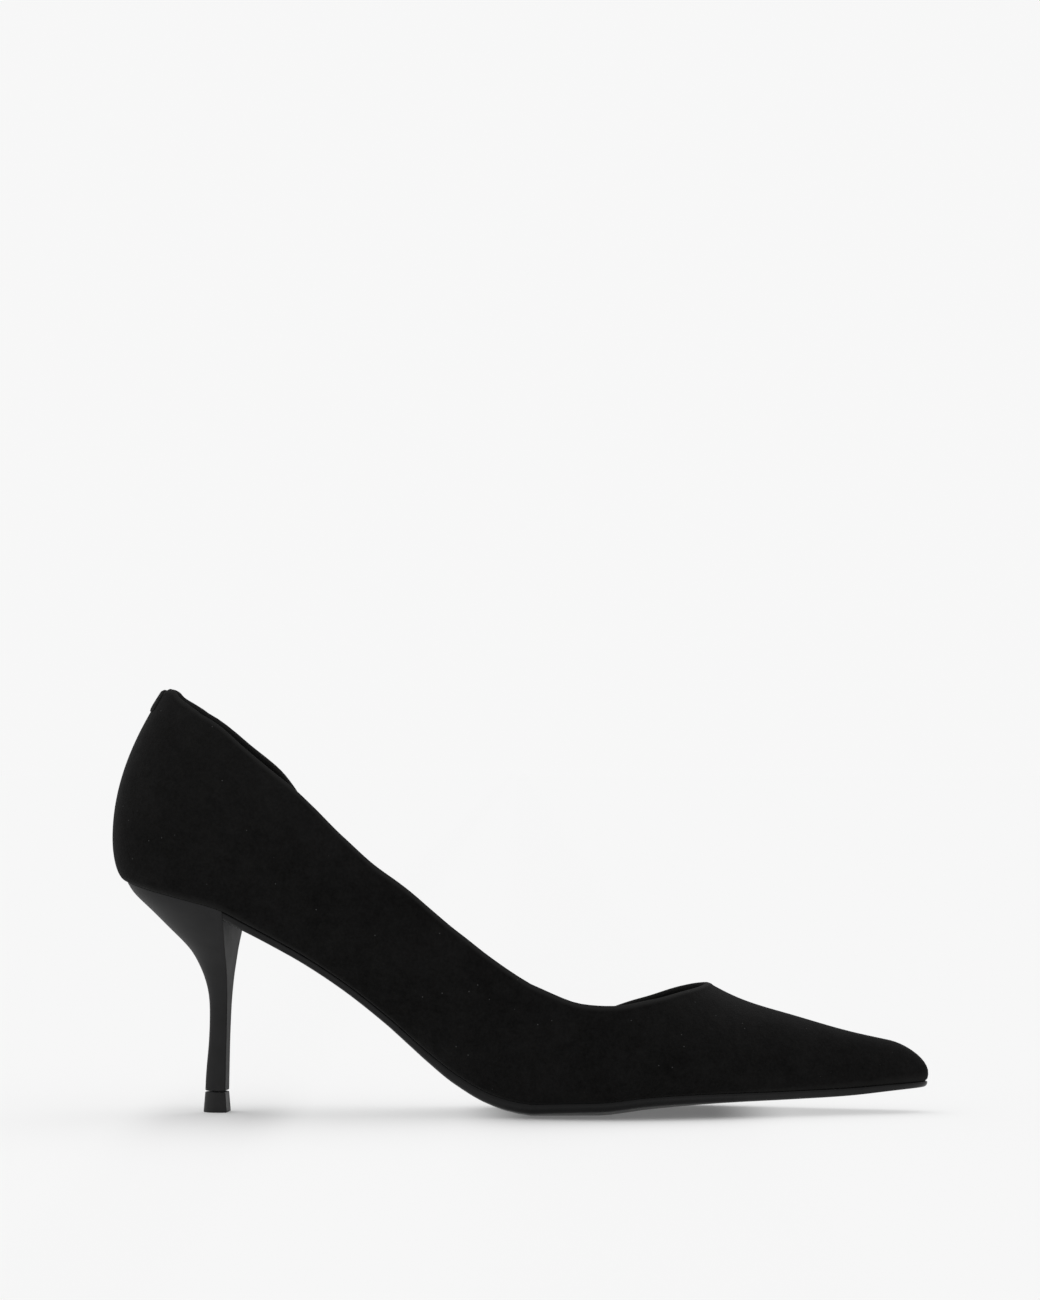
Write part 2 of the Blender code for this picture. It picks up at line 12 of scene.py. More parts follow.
import bmesh
import bpy
import numpy as np
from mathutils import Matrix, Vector


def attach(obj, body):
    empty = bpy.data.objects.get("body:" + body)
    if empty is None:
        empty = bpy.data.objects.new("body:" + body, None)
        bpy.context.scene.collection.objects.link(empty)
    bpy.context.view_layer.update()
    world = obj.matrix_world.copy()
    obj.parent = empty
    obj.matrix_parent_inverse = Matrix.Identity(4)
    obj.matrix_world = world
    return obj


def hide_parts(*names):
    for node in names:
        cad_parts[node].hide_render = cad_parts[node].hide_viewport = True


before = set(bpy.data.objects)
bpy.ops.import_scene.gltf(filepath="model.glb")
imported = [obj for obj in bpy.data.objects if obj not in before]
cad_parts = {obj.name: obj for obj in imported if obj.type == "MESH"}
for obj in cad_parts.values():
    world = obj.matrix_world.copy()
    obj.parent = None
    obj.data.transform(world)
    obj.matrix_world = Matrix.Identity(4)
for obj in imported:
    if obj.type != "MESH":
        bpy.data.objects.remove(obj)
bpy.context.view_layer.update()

# Sizes of the shoe
SHOE_LENGTH = 0.248  # back of the upper to the tip of the toe
BALL_WIDTH = 0.079  # upper at its widest
SEAT_WIDTH = 0.056  # upper round the heel
SEAT_HEIGHT = 0.0715  # floor to the upper's underside at the back
BACK_HEIGHT = 0.0557  # from there to the topline at the back seam
THROAT_HEIGHT = 0.0336  # feather edge to the top of the vamp at the throat
VAMP_LENGTH = 0.0675  # throat to the tip of the toe
TOE_SPRING = 0.0060  # rise of the sole's tip
TOE_NOSE = 0.012  # length of the rounding at the tip
ARCH_LIFT = 0.0025  # rise of the bottom towards the inner side, at the waist
CAMBER = 0.0018  # rise of the bottom towards both edges, beside its flat middle
FLAT_WIDTH = 0.030  # of that middle

# Thicknesses and clearances
UPPER_WALL = 0.0018
LASTING_MARGIN = 0.0065  # upper turned in under the insole
INSOLE_THICKNESS = 0.0025
SOLE_THICKNESS = 0.003  # at the ball
WAIST_THICKNESS = 0.0021  # sole under the arch
TIP_THICKNESS = 0.0013  # sole at the tip of the toe
EDGE_THINNING = 0.0006  # how much thinner the sole is at the sides of the ball
SOLE_EDGE_RADIUS = 0.0016
EDGE_ROUND_SHARE = 0.7  # most that this rounding takes of the sole's thickness
TOP_CHAMFER = 0.00012  # upper corner of the sole's edge
SOLE_LEDGE = 0.0007  # sole beyond the feather edge in the forepart
WAIST_INSET = 0.0009  # sole inside the feather edge at the waist
WAIST_PITCH = 0.3  # share of the climb from ball to seat by which the sole has its waist's sizes
CLEARANCE = 0.0003  # between pieces that meet

# The heel and its top lift
BREAST_X = 0.0347  # back of the upper to the outer corner of the breast
BREAST_SKEW = 0.0048  # inner corner of the breast ahead of the outer one
STEM_FORWARD = 0.0004  # breast of the stem ahead of the breast at the seat
STEM_DEPTH = 0.0057
STEM_WIDTH = 0.0082
TOP_LIFT_HEIGHT = 0.0062
TOP_LIFT_FLARE = 0.0005  # top lift's foot beyond the heel, all round
HEEL_BEVEL = 0.0004  # rounding of the heel's corners
LIFT_BEVEL = 0.0003

# The tab over the back seam
TAB_WIDTH = 0.010
TAB_OUTSIDE = 0.0074  # down the outside
TAB_INSIDE = 0.005  # down the inside
TAB_THICKNESS = 0.0006
TAB_EDGE_SHARE = 0.5  # of that thickness left at its edges
TAB_SKIVE = 0.0012  # over which it thins
TAB_BEVEL = 0.3 * TAB_THICKNESS
TAB_PAINTED_LIGHT = 0.6  # how pale the tab's nap is, as painted highlight, where a fold's is 1

SIDEWAYS = {"lateral": -1, "medial": 1}  # outer and inner side of the foot, along Y

# Sections of the last. x is a share of the length. front blends the sizes that the other shares follow,
# from 0 (seat width, back height) to 1 (ball width, throat height). axis is where the ridge lies, as a
# share of the ball width. lateral and medial are half widths from the axis, and the tucks how far the
# feather edge lies inside them, all as shares of the blended width. bulge and ridge are the heights of the
# widest line and of the foot's ridge above the feather edge, as shares of the blended height. lean is 1
# for a wall that leans in as a parabola and 2 for an ellipse.
SECTION_COLUMNS = "x front axis lateral medial tuck_lateral tuck_medial bulge ridge lean".split()
SECTIONS = (
    (0.000, 0.00, 0.000, 0.500, 0.500, 0.079, 0.079, 0.210, 1.345, 0.86),
    (0.056, 0.00, 0.000, 0.500, 0.500, 0.066, 0.066, 0.245, 1.430, 0.90),
    (0.113, 0.00, 0.000, 0.497, 0.494, 0.055, 0.057, 0.275, 1.500, 0.97),
    (0.180, 0.10, 0.003, 0.475, 0.443, 0.068, 0.087, 0.311, 1.525, 1.17),
    (0.250, 0.25, 0.006, 0.445, 0.373, 0.088, 0.120, 0.352, 1.570, 1.40),
    (0.320, 0.42, 0.010, 0.424, 0.318, 0.093, 0.136, 0.383, 1.712, 1.55),
    (0.385, 0.60, 0.013, 0.424, 0.312, 0.088, 0.130, 0.374, 1.898, 1.65),
    (0.445, 0.75, 0.019, 0.458, 0.349, 0.075, 0.110, 0.332, 2.052, 1.70),
    (0.505, 0.88, 0.028, 0.503, 0.408, 0.060, 0.085, 0.300, 2.066, 1.72),
    (0.565, 0.97, 0.038, 0.537, 0.450, 0.051, 0.063, 0.280, 1.902, 1.72),
    (0.605, 1.00, 0.043, 0.544, 0.457, 0.047, 0.050, 0.265, 1.710, 1.70),
    (0.645, 1.00, 0.044, 0.530, 0.454, 0.043, 0.045, 0.240, 1.440, 1.68),
    (0.705, 1.00, 0.043, 0.476, 0.413, 0.036, 0.039, 0.205, 1.100, 1.65),
    (0.765, 1.00, 0.037, 0.393, 0.344, 0.029, 0.033, 0.173, 0.833, 1.65),
    (0.825, 1.00, 0.029, 0.303, 0.267, 0.024, 0.028, 0.146, 0.672, 1.68),
    (0.885, 1.00, 0.023, 0.215, 0.194, 0.020, 0.022, 0.122, 0.529, 1.75),
    (0.945, 1.00, 0.018, 0.139, 0.130, 0.016, 0.017, 0.099, 0.400, 1.85),
    (1.000, 1.00, 0.015, 0.086, 0.086, 0.013, 0.013, 0.072, 0.290, 2.00),
)

# The bottom of the last in side view. pitch is a share of the rise from ball to seat, spring of the toe's.
BOTTOM_COLUMNS = "x pitch spring".split()
BOTTOM = (
    (0.000, 1.000, 0.000),
    (0.041, 0.955, 0.000),
    (0.087, 0.910, 0.000),
    (0.133, 0.865, 0.000),
    (0.170, 0.801, 0.000),
    (0.203, 0.741, 0.000),
    (0.242, 0.664, 0.000),
    (0.291, 0.548, 0.000),
    (0.340, 0.407, 0.000),
    (0.389, 0.243, 0.000),
    (0.425, 0.135, 0.000),
    (0.462, 0.053, 0.000),
    (0.492, 0.014, 0.000),
    (0.516, 0.000, 0.000),
    (0.595, 0.000, 0.000),
    (0.620, 0.000, 0.100),
    (0.650, 0.000, 0.260),
    (0.730, 0.000, 0.510),
    (0.826, 0.000, 0.680),
    (0.900, 0.000, 0.780),
    (0.960, 0.000, 0.930),
    (1.000, 0.000, 1.000),
)

# Height of the topline on each side above the feather edge, as a share of the ridge height of its section.
# x is a share of the way from the back to the throat.
TOPLINE_COLUMNS = "x lateral medial".split()
TOPLINE = (
    (0.000, 0.751, 0.751),
    (0.012, 0.756, 0.756),
    (0.025, 0.767, 0.767),
    (0.050, 0.760, 0.760),
    (0.077, 0.737, 0.739),
    (0.115, 0.7105, 0.7165),
    (0.155, 0.684, 0.693),
    (0.190, 0.660, 0.666),
    (0.220, 0.640, 0.649),
    (0.275, 0.615, 0.626),
    (0.305, 0.605, 0.584),
    (0.343, 0.580, 0.455),
    (0.392, 0.541, 0.304),
    (0.446, 0.519, 0.196),
    (0.522, 0.537, 0.136),
    (0.591, 0.535, 0.122),
    (0.652, 0.522, 0.140),
    (0.714, 0.500, 0.192),
    (0.769, 0.4875, 0.284),
    (0.838, 0.540, 0.462),
    (0.905, 0.675, 0.637),
    (0.962, 0.848, 0.844),
    (0.984, 0.928, 0.934),
    (1.000, 1.000, 1.000),
)

# Heel sections from the seat down: rear, fore, back, front and slim. rear and fore are heights at the back
# and at the breast, as shares of the seat's height there. back and front are how far the back and the breast
# have moved from the seat's to the stem's, and slim how far the width has narrowed.
HEEL = (
    (0.946, 0.960, 0.096, 0.12, 0.08),
    (0.882, 0.905, 0.280, 0.30, 0.22),
    (0.816, 0.850, 0.467, 0.46, 0.38),
    (0.756, 0.795, 0.638, 0.62, 0.53),
    (0.700, 0.740, 0.780, 1.05, 0.67),
    (0.640, 0.685, 0.878, 1.25, 0.79),
    (0.577, 0.625, 0.950, 1.30, 0.88),
    (0.500, 0.550, 0.998, 1.15, 0.95),
    (0.410, 0.460, 1.008, 0.85, 0.985),
    (0.300, 0.345, 0.997, 0.40, 1.00),
    (0.190, 0.220, 0.970, 0.00, 1.00),
)
FOOT_BACK = 0.955  # back and front at the top lift
FOOT_FRONT = -0.35

# Joints closed up by glue and finish
JOINT = 0.00003  # between pieces that meet
BREAST_JOINT = 0.00015  # between the heel's breast and the sole

# Finish of the upper
SUEDE = 0.0010  # thickness of the suede alone
FOLD_INSIDE = 0.0016  # how far the folded edge reaches down inside
FOLD_BAND = 0.0017  # stretch below the fold where the nap is paler, a painted highlight
FOLD_END_PAINTED_LIGHT = 0.4  # how pale the nap is where the fold ends inside, as painted highlight, where the fold itself is 1
FEATHER_PAINTED_LIGHT = (0.5, 0.5, 0.25)  # the same for the margin and the first rows over it, painted light over the shade where the upper meets the sole
LINING_GAP = 0.00012
EDGE_BAND = 0.004  # stretch under the topline with finer rows
BEAD_WIDTH = 0.0022  # soft bead along the folded edge
BEAD_RISE = 0.00014
SEAM_WIDTH = 0.0005  # groove of the back seam
SEAM_DEPTH = 0.00020
CREASE_X = 0.1512  # short upright crease on the outer side, under the topline
CREASE_LENGTH = 0.0035
CREASE_WIDTH = 0.0006
CREASE_DEPTH = 0.00018
SOCK_CROWN = 0.0006  # rise of the sock along its middle
CROWN_FALL = 1.5  # power by which that rise falls off to the sides
SOCK_EDGE = 0.0008  # rounding of the sock's edge
STITCH_LENGTH = 0.0019
STITCH_PITCH = 0.0026
STITCH_WIDTH = 0.00032
STITCH_FLATNESS = 0.8  # height of a stitch as a share of its width
STITCH_DROP = 0.0011  # under the folded edge, inside

# Fine mesh density
FAN_STEPS = 28
FAN_GATHER = 1.45  # how much closer the lines stand towards the back seam
TOE_GATHER = 1.6  # and towards the tip of the toe
SEAT_STEPS = 4
SIDE_STEPS = 60
TOE_STEPS = 56
SKIN_ROWS = 46
SKIN_GATHER = 1.1  # how much closer these rows stand towards the feather edge
BAND_ROWS = 12
RIM_ROWS = 8
FOLD_ROWS = 3
CROSS_STEPS = 24
HEEL_ROWS = 70
EDGE_TURNS = 9
TAB_STEPS = 9
DENSE = 60  # points on each arc of the curves that the rows are read from
MERGE = 2e-6  # points closer than this become one
TINY = 1e-12  # least length that a direction is taken from
SHADE_ANGLE = 50  # degrees that faces may turn by and still be shaded as one surface
CORNER_ANGLE = 48  # degrees by which the heel's and the top lift's corners turn, at least
TAB_ANGLE = 60


def natural_spline(knots, values):
    """A smooth curve through the points, with no bend at its ends."""
    knots, values = np.asarray(knots, float), np.asarray(values, float)
    gaps = np.diff(knots)
    count = len(knots)
    matrix = np.eye(count)
    right = np.zeros(count)
    for i in range(1, count - 1):
        matrix[i, i - 1 : i + 2] = gaps[i - 1], 2 * (gaps[i - 1] + gaps[i]), gaps[i]
        right[i] = 6 * ((values[i + 1] - values[i]) / gaps[i] - (values[i] - values[i - 1]) / gaps[i - 1])
    bends = np.linalg.solve(matrix, right)

    def curve(x):
        x = np.clip(x, knots[0], knots[-1])
        i = np.clip(np.searchsorted(knots, x) - 1, 0, count - 2)
        gap, ahead, behind = gaps[i], knots[i + 1] - x, x - knots[i]
        bend = (bends[i] * ahead**3 + bends[i + 1] * behind**3) / (6 * gap)
        start = (values[i] / gap - bends[i] * gap / 6) * ahead
        return bend + start + (values[i + 1] / gap - bends[i + 1] * gap / 6) * behind

    return curve


def gentle_curve(knots, values):
    """A curve through the points that never swings past them."""
    knots, values = np.asarray(knots, float), np.asarray(values, float)
    rises = np.diff(values) / np.diff(knots)
    slopes = np.zeros(len(knots))
    same_way = rises[:-1] * rises[1:] > 0
    middle = 2 * rises[:-1] * rises[1:] / np.where(same_way, rises[:-1] + rises[1:], 1)
    slopes[1:-1] = np.where(same_way, middle, 0)
    slopes[0], slopes[-1] = rises[0], rises[-1]

    def curve(x):
        x = np.clip(x, knots[0], knots[-1])
        i = np.clip(np.searchsorted(knots, x) - 1, 0, len(knots) - 2)
        gap = knots[i + 1] - knots[i]
        t = (x - knots[i]) / gap
        start = (1 + 2 * t) * (1 - t) ** 2 * values[i] + t * (1 - t) ** 2 * gap * slopes[i]
        return start + t**2 * (3 - 2 * t) * values[i + 1] - t**2 * (1 - t) * gap * slopes[i + 1]

    return curve


def columns_of(names, rows, length, make_curve):
    """One curve for each named column of a table, against the length that its x is a share of."""
    table = np.array(rows)
    return {name: make_curve(table[:, 0] * length, table[:, i]) for i, name in enumerate(names) if i}


HEEL_CENTRE_X = SEAT_WIDTH / 2
THROAT_X = SHOE_LENGTH - VAMP_LENGTH
TURN_SHARE = 0.665  # of the way to the throat, from where the upper's lines lean towards it
TURN_X = TURN_SHARE * THROAT_X
NOSE_X = SHOE_LENGTH - TOE_NOSE
section = columns_of(SECTION_COLUMNS, SECTIONS, SHOE_LENGTH, natural_spline)
bottom_line = columns_of(BOTTOM_COLUMNS, BOTTOM, SHOE_LENGTH, gentle_curve)
topline = columns_of(TOPLINE_COLUMNS, TOPLINE, THROAT_X, gentle_curve)


def width_at(x):
    return SEAT_WIDTH + (BALL_WIDTH - SEAT_WIDTH) * section["front"](x)


def height_at(x):
    return BACK_HEIGHT + (THROAT_HEIGHT - BACK_HEIGHT) * section["front"](x)


def axis_y(x):
    return BALL_WIDTH * section["axis"](x)


def nose(x, wall):
    """1 along the shoe, falling as a quarter ellipse to 0 at the tip of the toe."""
    return np.sqrt(1 - np.clip((x - NOSE_X) / (TOE_NOSE - wall), 0, 1) ** 2)


def half_width(x, side, wall):
    return (width_at(x) * section[side](x) - wall) * nose(x, wall)


def tuck(x, side):
    return width_at(x) * section["tuck_" + side](x)


def bulge_height(x):
    return height_at(x) * section["bulge"](x)


def ridge_height(x, wall):
    return height_at(x) * section["ridge"](x) - wall


def topline_height(x, side):
    return topline[side](x) * ridge_height(x, 0)


def camber_share(x, y):
    """0 over the flat middle, rising to about 1 at the sides of the ball."""
    return np.maximum(0, (abs(y - axis_y(x)) - FLAT_WIDTH / 2) / (BALL_WIDTH - FLAT_WIDTH) * 2) ** 2


def feather_z(x, y):
    """The bottom of the last, which is the underside of the lasted upper."""
    rise = SEAT_HEIGHT - SOLE_THICKNESS - CLEARANCE
    pitch = bottom_line["pitch"](x)
    level = SOLE_THICKNESS + CLEARANCE + rise * pitch + TOE_SPRING * bottom_line["spring"](x)
    arch = (4 * pitch * (1 - pitch)) ** 2
    inward = (y - axis_y(x)) / BALL_WIDTH * 2
    return level + ARCH_LIFT * arch * inward + CAMBER * camber_share(x, y)


def bottom_point(plan, up):
    """The points over or under plan points, at a distance measured square to the bottom."""
    x, y = plan[..., 0], plan[..., 1]
    step = SHOE_LENGTH / 1000
    slope = (feather_z(x + step, y) - feather_z(x - step, y)) / (2 * step)
    return np.stack([x, y, feather_z(x, y) + up * np.sqrt(1 + slope**2)], axis=-1)


def plan_frame(x, side):
    """Plan origin and direction of a section: fanned round the heel, straight across elsewhere."""
    turn = np.arccos(1 - np.clip(x / HEEL_CENTRE_X, 0, 1))
    middle = np.maximum(x, HEEL_CENTRE_X)
    origin = np.stack([middle, axis_y(middle)], axis=-1)
    return origin, np.stack([-np.cos(turn), SIDEWAYS[side] * np.sin(turn)], axis=-1)


def dome_height(x, reach, side, wall):
    """Height above the feather edge of the skin over the widest line, at a distance from the axis."""
    widest, bulge = np.maximum(half_width(x, side, wall), MERGE), bulge_height(x)
    lean = np.sqrt(1 - np.minimum(1, reach / widest) ** section["lean"](x))
    return bulge + (ridge_height(x, wall) - bulge) * nose(x, wall) * lean


def topline_reach(x, side, wall):
    """Distance from the axis to the topline."""
    bulge = bulge_height(x)
    share = (topline_height(x, side) - bulge) / (ridge_height(x, 0) - bulge)
    return half_width(x, side, wall) * (1 - np.clip(share, 0, 1) ** 2) ** (1 / section["lean"](x))


def station_starts(side):
    """Where the wall's lines start on one side, from the back seam to the tip of the toe."""
    turns = (np.arange(FAN_STEPS) / FAN_STEPS) ** FAN_GATHER * math.pi / 2
    fan = HEEL_CENTRE_X * (1 - np.cos(turns))
    breast = BREAST_X + (BREAST_SKEW if side == "medial" else 0)
    seat = np.linspace(HEEL_CENTRE_X, breast, SEAT_STEPS, endpoint=False)
    waist = np.linspace(breast, TURN_X, SIDE_STEPS, endpoint=False)
    toe = SHOE_LENGTH - (SHOE_LENGTH - TURN_X) * np.linspace(1, 0, TOE_STEPS + 1) ** TOE_GATHER
    return [*fan, *seat, *waist, *toe]


BREAST_STATION = FAN_STEPS + SEAT_STEPS
LAST_STATION = BREAST_STATION + SIDE_STEPS + TOE_STEPS


def topline_x(x):
    """Where the line that starts at x ends on the topline: they gather towards the throat."""
    if x <= TURN_X:
        return x
    gather = (SHOE_LENGTH - TURN_X) / (THROAT_X - TURN_X)
    return THROAT_X - (THROAT_X - TURN_X) * ((SHOE_LENGTH - x) / (SHOE_LENGTH - TURN_X)) ** gather


def unit(vector):
    return vector / np.linalg.norm(vector)


def feather_plan(x, side, wall):
    """Plan points of the widest line and the feather edge, and the direction from one to the other."""
    start = NOSE_X + (x - NOSE_X) * (TOE_NOSE - wall) / TOE_NOSE if x > NOSE_X else x
    origin, direction = plan_frame(start, side)
    widest = origin + half_width(start, side, wall) * direction
    target, _ = plan_frame(topline_x(x), side)
    inside = unit(target - widest)
    return start, widest, widest + tuck(start, side) * inside, inside


def skin_path(x, side, wall):
    """The upper's skin from the feather edge to the topline. wall is its depth under the outside."""
    start, widest, feather, inside = feather_plan(x, side, wall)
    end = topline_x(x)
    low = bottom_point(feather, wall)[2]
    level = feather_z(start, axis_y(start)) + bulge_height(start)
    cut = feather_z(end, axis_y(end)) + topline_height(end, side)
    last_turn = 0
    if cut < level and x <= TURN_X:
        last_turn = math.asin(min(1, max(0, (level - cut) / (level - low))))
    turns = np.linspace(math.pi / 2, last_turn, DENSE)[:, None]
    arc = np.hstack([feather + (widest - feather) * np.cos(turns), level - (level - low) * np.sin(turns)])
    if last_turn:
        return arc
    steps = (np.linspace(0, 1, 2 * DENSE) ** 2)[1:]
    at = start + (end - start) * steps
    reach = half_width(start, side, wall) * (1 - steps) + topline_reach(end, side, wall) * steps
    origins, directions = plan_frame(at, side)
    heights = feather_z(at, axis_y(at)) + dome_height(at, reach, side, wall)
    return np.concatenate([arc, np.column_stack([origins + reach[:, None] * directions, heights])])


STATIONS = [(x, "lateral") for x in station_starts("lateral")]
STATIONS += [(x, "medial") for x in station_starts("medial")[-2:0:-1]]


def opposite(i):
    """The station across the shoe from station i."""
    return -i % len(STATIONS)


def feather_edge():
    """Plan points of the feather edge at the stations, and the directions out of the shoe and into it."""
    points = [feather_plan(x, side, 0) for x, side in STATIONS]
    edge = np.array([point[2] for point in points])
    along = np.roll(edge, -1, axis=0) - np.roll(edge, 1, axis=0)
    out = [unit(np.array([step[1], -step[0]])) for step in along]
    return edge, np.array(out), np.array([point[3] for point in points])


EDGE, EDGE_OUT, EDGE_IN = feather_edge()


def mapped_grid(mesh, points, layer=None, values=None):
    """Adds a grid whose corners are an array of points, with a value for each row if a layer is given."""
    across, up = points.shape[0] - 1, points.shape[1] - 1
    made = bmesh.ops.create_grid(mesh, x_segments=across, y_segments=up, size=0.5)
    for vert in made["verts"]:
        row = round((vert.co.y + 0.5) * up)
        vert.co = points[round((vert.co.x + 0.5) * across), row]
        if layer:
            vert[layer] = values[row]


ORIGIN = np.array([SHOE_LENGTH / 2, 0.0, 0.0])  # the frame's origin in last coordinates


def between(start, end, steps):
    share = np.linspace(0, 1, steps + 1)[:, None]
    return start + (end - start) * share


def across(start, end, up):
    """Points from side to side of the shoe. up gives their heights over the bottom of the last."""
    plans = between(start[:2], end[:2], CROSS_STEPS)
    return bottom_point(plans, up(plans))


def plate_loop(outer_edge, inner_edge, top, low):
    """A closed loop across a plate, with its top and its underside at heights over the bottom of the last.

    Each edge is a path from the top to the underside on one side of the shoe."""
    over = across(outer_edge[0], inner_edge[0], top)
    under = across(inner_edge[-1], outer_edge[-1], low)
    return np.concatenate([over, inner_edge[1:-1], under, outer_edge[-2:0:-1], over[:1]])


def insole_underside(plan):
    return UPPER_WALL + CLEARANCE


def insole_top(plan):
    return UPPER_WALL + CLEARANCE + INSOLE_THICKNESS


def waist_share(x):
    """0 in the forepart and 1 in the waist, from the first part of the bottom's climb."""
    return np.minimum(1, bottom_line["pitch"](x) / WAIST_PITCH)


def sole_underside(plan):
    """The underside's height over the bottom of the last, below zero: lowest under the ball's middle."""
    x, y = plan[..., 0], plan[..., 1]
    tip = bottom_line["spring"](x) ** 2
    thinning = (SOLE_THICKNESS - WAIST_THICKNESS) * waist_share(x) + (SOLE_THICKNESS - TIP_THICKNESS) * tip
    return -CLEARANCE - SOLE_THICKNESS + thinning + EDGE_THINNING * camber_share(x, y)


def sole_top(plan):
    return -JOINT


def seat_ring():
    """The heel's top outline from the breast's outer corner round the back to its inner corner."""
    return bottom_point(EDGE[np.arange(BREAST_STATION, -BREAST_STATION - 1, -1)], -JOINT)


def heel_ring(rear_z, fore_z, back, front, slim):
    """A section of the heel: the seat's outline drawn in towards the stem's."""
    seat = seat_ring()
    low, high = seat.min(0), seat.max(0)
    middle, width = (low[1] + high[1]) / 2, high[1] - low[1]
    narrow = 1 - slim + slim * STEM_WIDTH / width
    across = (seat[:, 1] - seat[0, 1]) / (seat[-1, 1] - seat[0, 1])
    breast = seat[0, 0] + (seat[-1, 0] - seat[0, 0]) * across
    along = (seat[:, 0] - low[0]) / (breast - low[0])
    stem_front = seat[0, 0] + STEM_FORWARD
    back_x = low[0] + (stem_front - STEM_DEPTH - low[0]) * back
    front_x = seat[0, 0] + STEM_FORWARD * front + (breast - seat[0, 0]) * narrow
    x, y = back_x + (front_x - back_x) * along, middle + (seat[:, 1] - middle) * narrow
    return np.stack([x, y, rear_z + (fore_z - rear_z) * along], axis=1)


def closed_ring(ring):
    """The ring with the breast across its ends."""
    return np.concatenate([ring, between(ring[-1], ring[0], CROSS_STEPS)[1:]])


def cover(ring):
    """Strips across a ring, from its breast to its back."""
    half = len(ring) // 2
    return [between(ring[k], ring[-1 - k], CROSS_STEPS) for k in range(half + 1)]


def heel_foot():
    """The heel's last section, on the top lift."""
    height = TOP_LIFT_HEIGHT + CLEARANCE
    return heel_ring(height, height, FOOT_BACK, FOOT_FRONT, HEEL[-1][-1])


def moved_out(line, distance):
    """A line across the wall's edge, from outside to inside, moved away from the wall.

    Its columns are reach and height."""
    steps = np.diff(line, axis=0)
    normals = np.stack([steps[:, 1], -steps[:, 0]], axis=1) / np.linalg.norm(steps, axis=1)[:, None]
    before, after = np.concatenate([normals[:1], normals]), np.concatenate([normals, normals[-1:]])
    middle = (before + after) / 2
    return line + distance * middle / (middle**2).sum(1)[:, None]


def path_length(path):
    return np.linalg.norm(np.diff(path, axis=0), axis=1).sum()


def distances_along(path):
    """How far each point of a path lies from its start."""
    return np.concatenate([[0], np.cumsum(np.linalg.norm(np.diff(path, axis=0), axis=1))])


def points_at(path, along, wanted):
    """Points at the wanted distances along a path. along has the distances of its own points."""
    return np.stack([np.interp(wanted, along, path[:, i]) for i in range(3)], axis=1)


def from_end(path, distances):
    """Points of a path at distances back from its end."""
    along = distances_along(path)
    return points_at(path, along, along[-1] - np.asarray(distances))


def skin_distances(length, top):
    """How far the rows of a skin lie from the topline, finer near it. top is where the last row stops."""
    body = EDGE_BAND + (length - EDGE_BAND) * (1 - np.linspace(0, 1, SKIN_ROWS) ** SKIN_GATHER)
    band = EDGE_BAND + (top - EDGE_BAND) * np.linspace(0, 1, BAND_ROWS + 1)[1:]
    return np.concatenate([body, band])


def margin_point(x, side, wall):
    _, _, feather, inside = feather_plan(x, side, wall)
    return bottom_point(feather + LASTING_MARGIN * inside, wall)[None]


def suede_line(x, side):
    """A closed loop through the suede at a station: up the outside, over the fold and down behind."""
    outside, inside, under = (skin_path(x, side, wall) for wall in (0, UPPER_WALL, SUEDE))
    radius = np.linalg.norm(outside[-1] - inside[-1]) / 2
    outer = from_end(outside, skin_distances(path_length(outside), radius))
    fold = from_end(inside, np.linspace(radius, radius + FOLD_INSIDE, FOLD_ROWS + 1))
    reach, middle = (outer[-1] - fold[0]) / 2, (outer[-1] + fold[0]) / 2
    rise = unit(outer[-1] - outer[-2]) * radius
    turns = np.linspace(0, math.pi, RIM_ROWS + 2)[1:-1, None]
    rim = middle + reach * np.cos(turns) + rise * np.sin(turns)
    hidden = from_end(under, skin_distances(path_length(under), radius + FOLD_INSIDE))[::-1]
    ends = margin_point(x, side, 0), margin_point(x, side, SUEDE)
    return np.concatenate([ends[0], outer, rim, fold, hidden, ends[1], ends[0]])


OUTER_ROWS = SKIN_ROWS + BAND_ROWS  # rows of the outer skin in a suede line, after the margin's


def smooth_step(value):
    value = np.clip(value, 0, 1)
    return value * value * (3 - 2 * value)


def surface_relief(x, side, down, across):
    """How far the suede stands out at a station: the bead, the back seam and the crease."""
    bead = BEAD_RISE * np.sin(math.pi * np.clip((down - UPPER_WALL / 3) / BEAD_WIDTH, 0, 1)) ** 2
    seam = -SEAM_DEPTH * math.exp(-((across / SEAM_WIDTH) ** 2))
    relief = bead + seam * smooth_step(down / EDGE_BAND)
    if side == "lateral":
        reach = math.exp(-(((x - CREASE_X) / CREASE_WIDTH) ** 2))
        relief = relief - CREASE_DEPTH * reach * smooth_step((CREASE_LENGTH - down) / CREASE_LENGTH * 2)
    return relief


def painted_light_values():
    """How pale the nap is on each row of a suede line, as painted light: 1 over the fold, 0 below its band.
    """
    top = UPPER_WALL / 2
    outer = smooth_step(1 - (skin_distances(2 * EDGE_BAND, top) - top) / FOLD_BAND)
    outer[: len(FEATHER_PAINTED_LIGHT)] = FEATHER_PAINTED_LIGHT
    fold = np.linspace(1, FOLD_END_PAINTED_LIGHT, FOLD_ROWS + 1)
    hidden = np.zeros(OUTER_ROWS + 2)
    return np.concatenate([[FEATHER_PAINTED_LIGHT[0]], outer, np.ones(RIM_ROWS), fold, hidden])


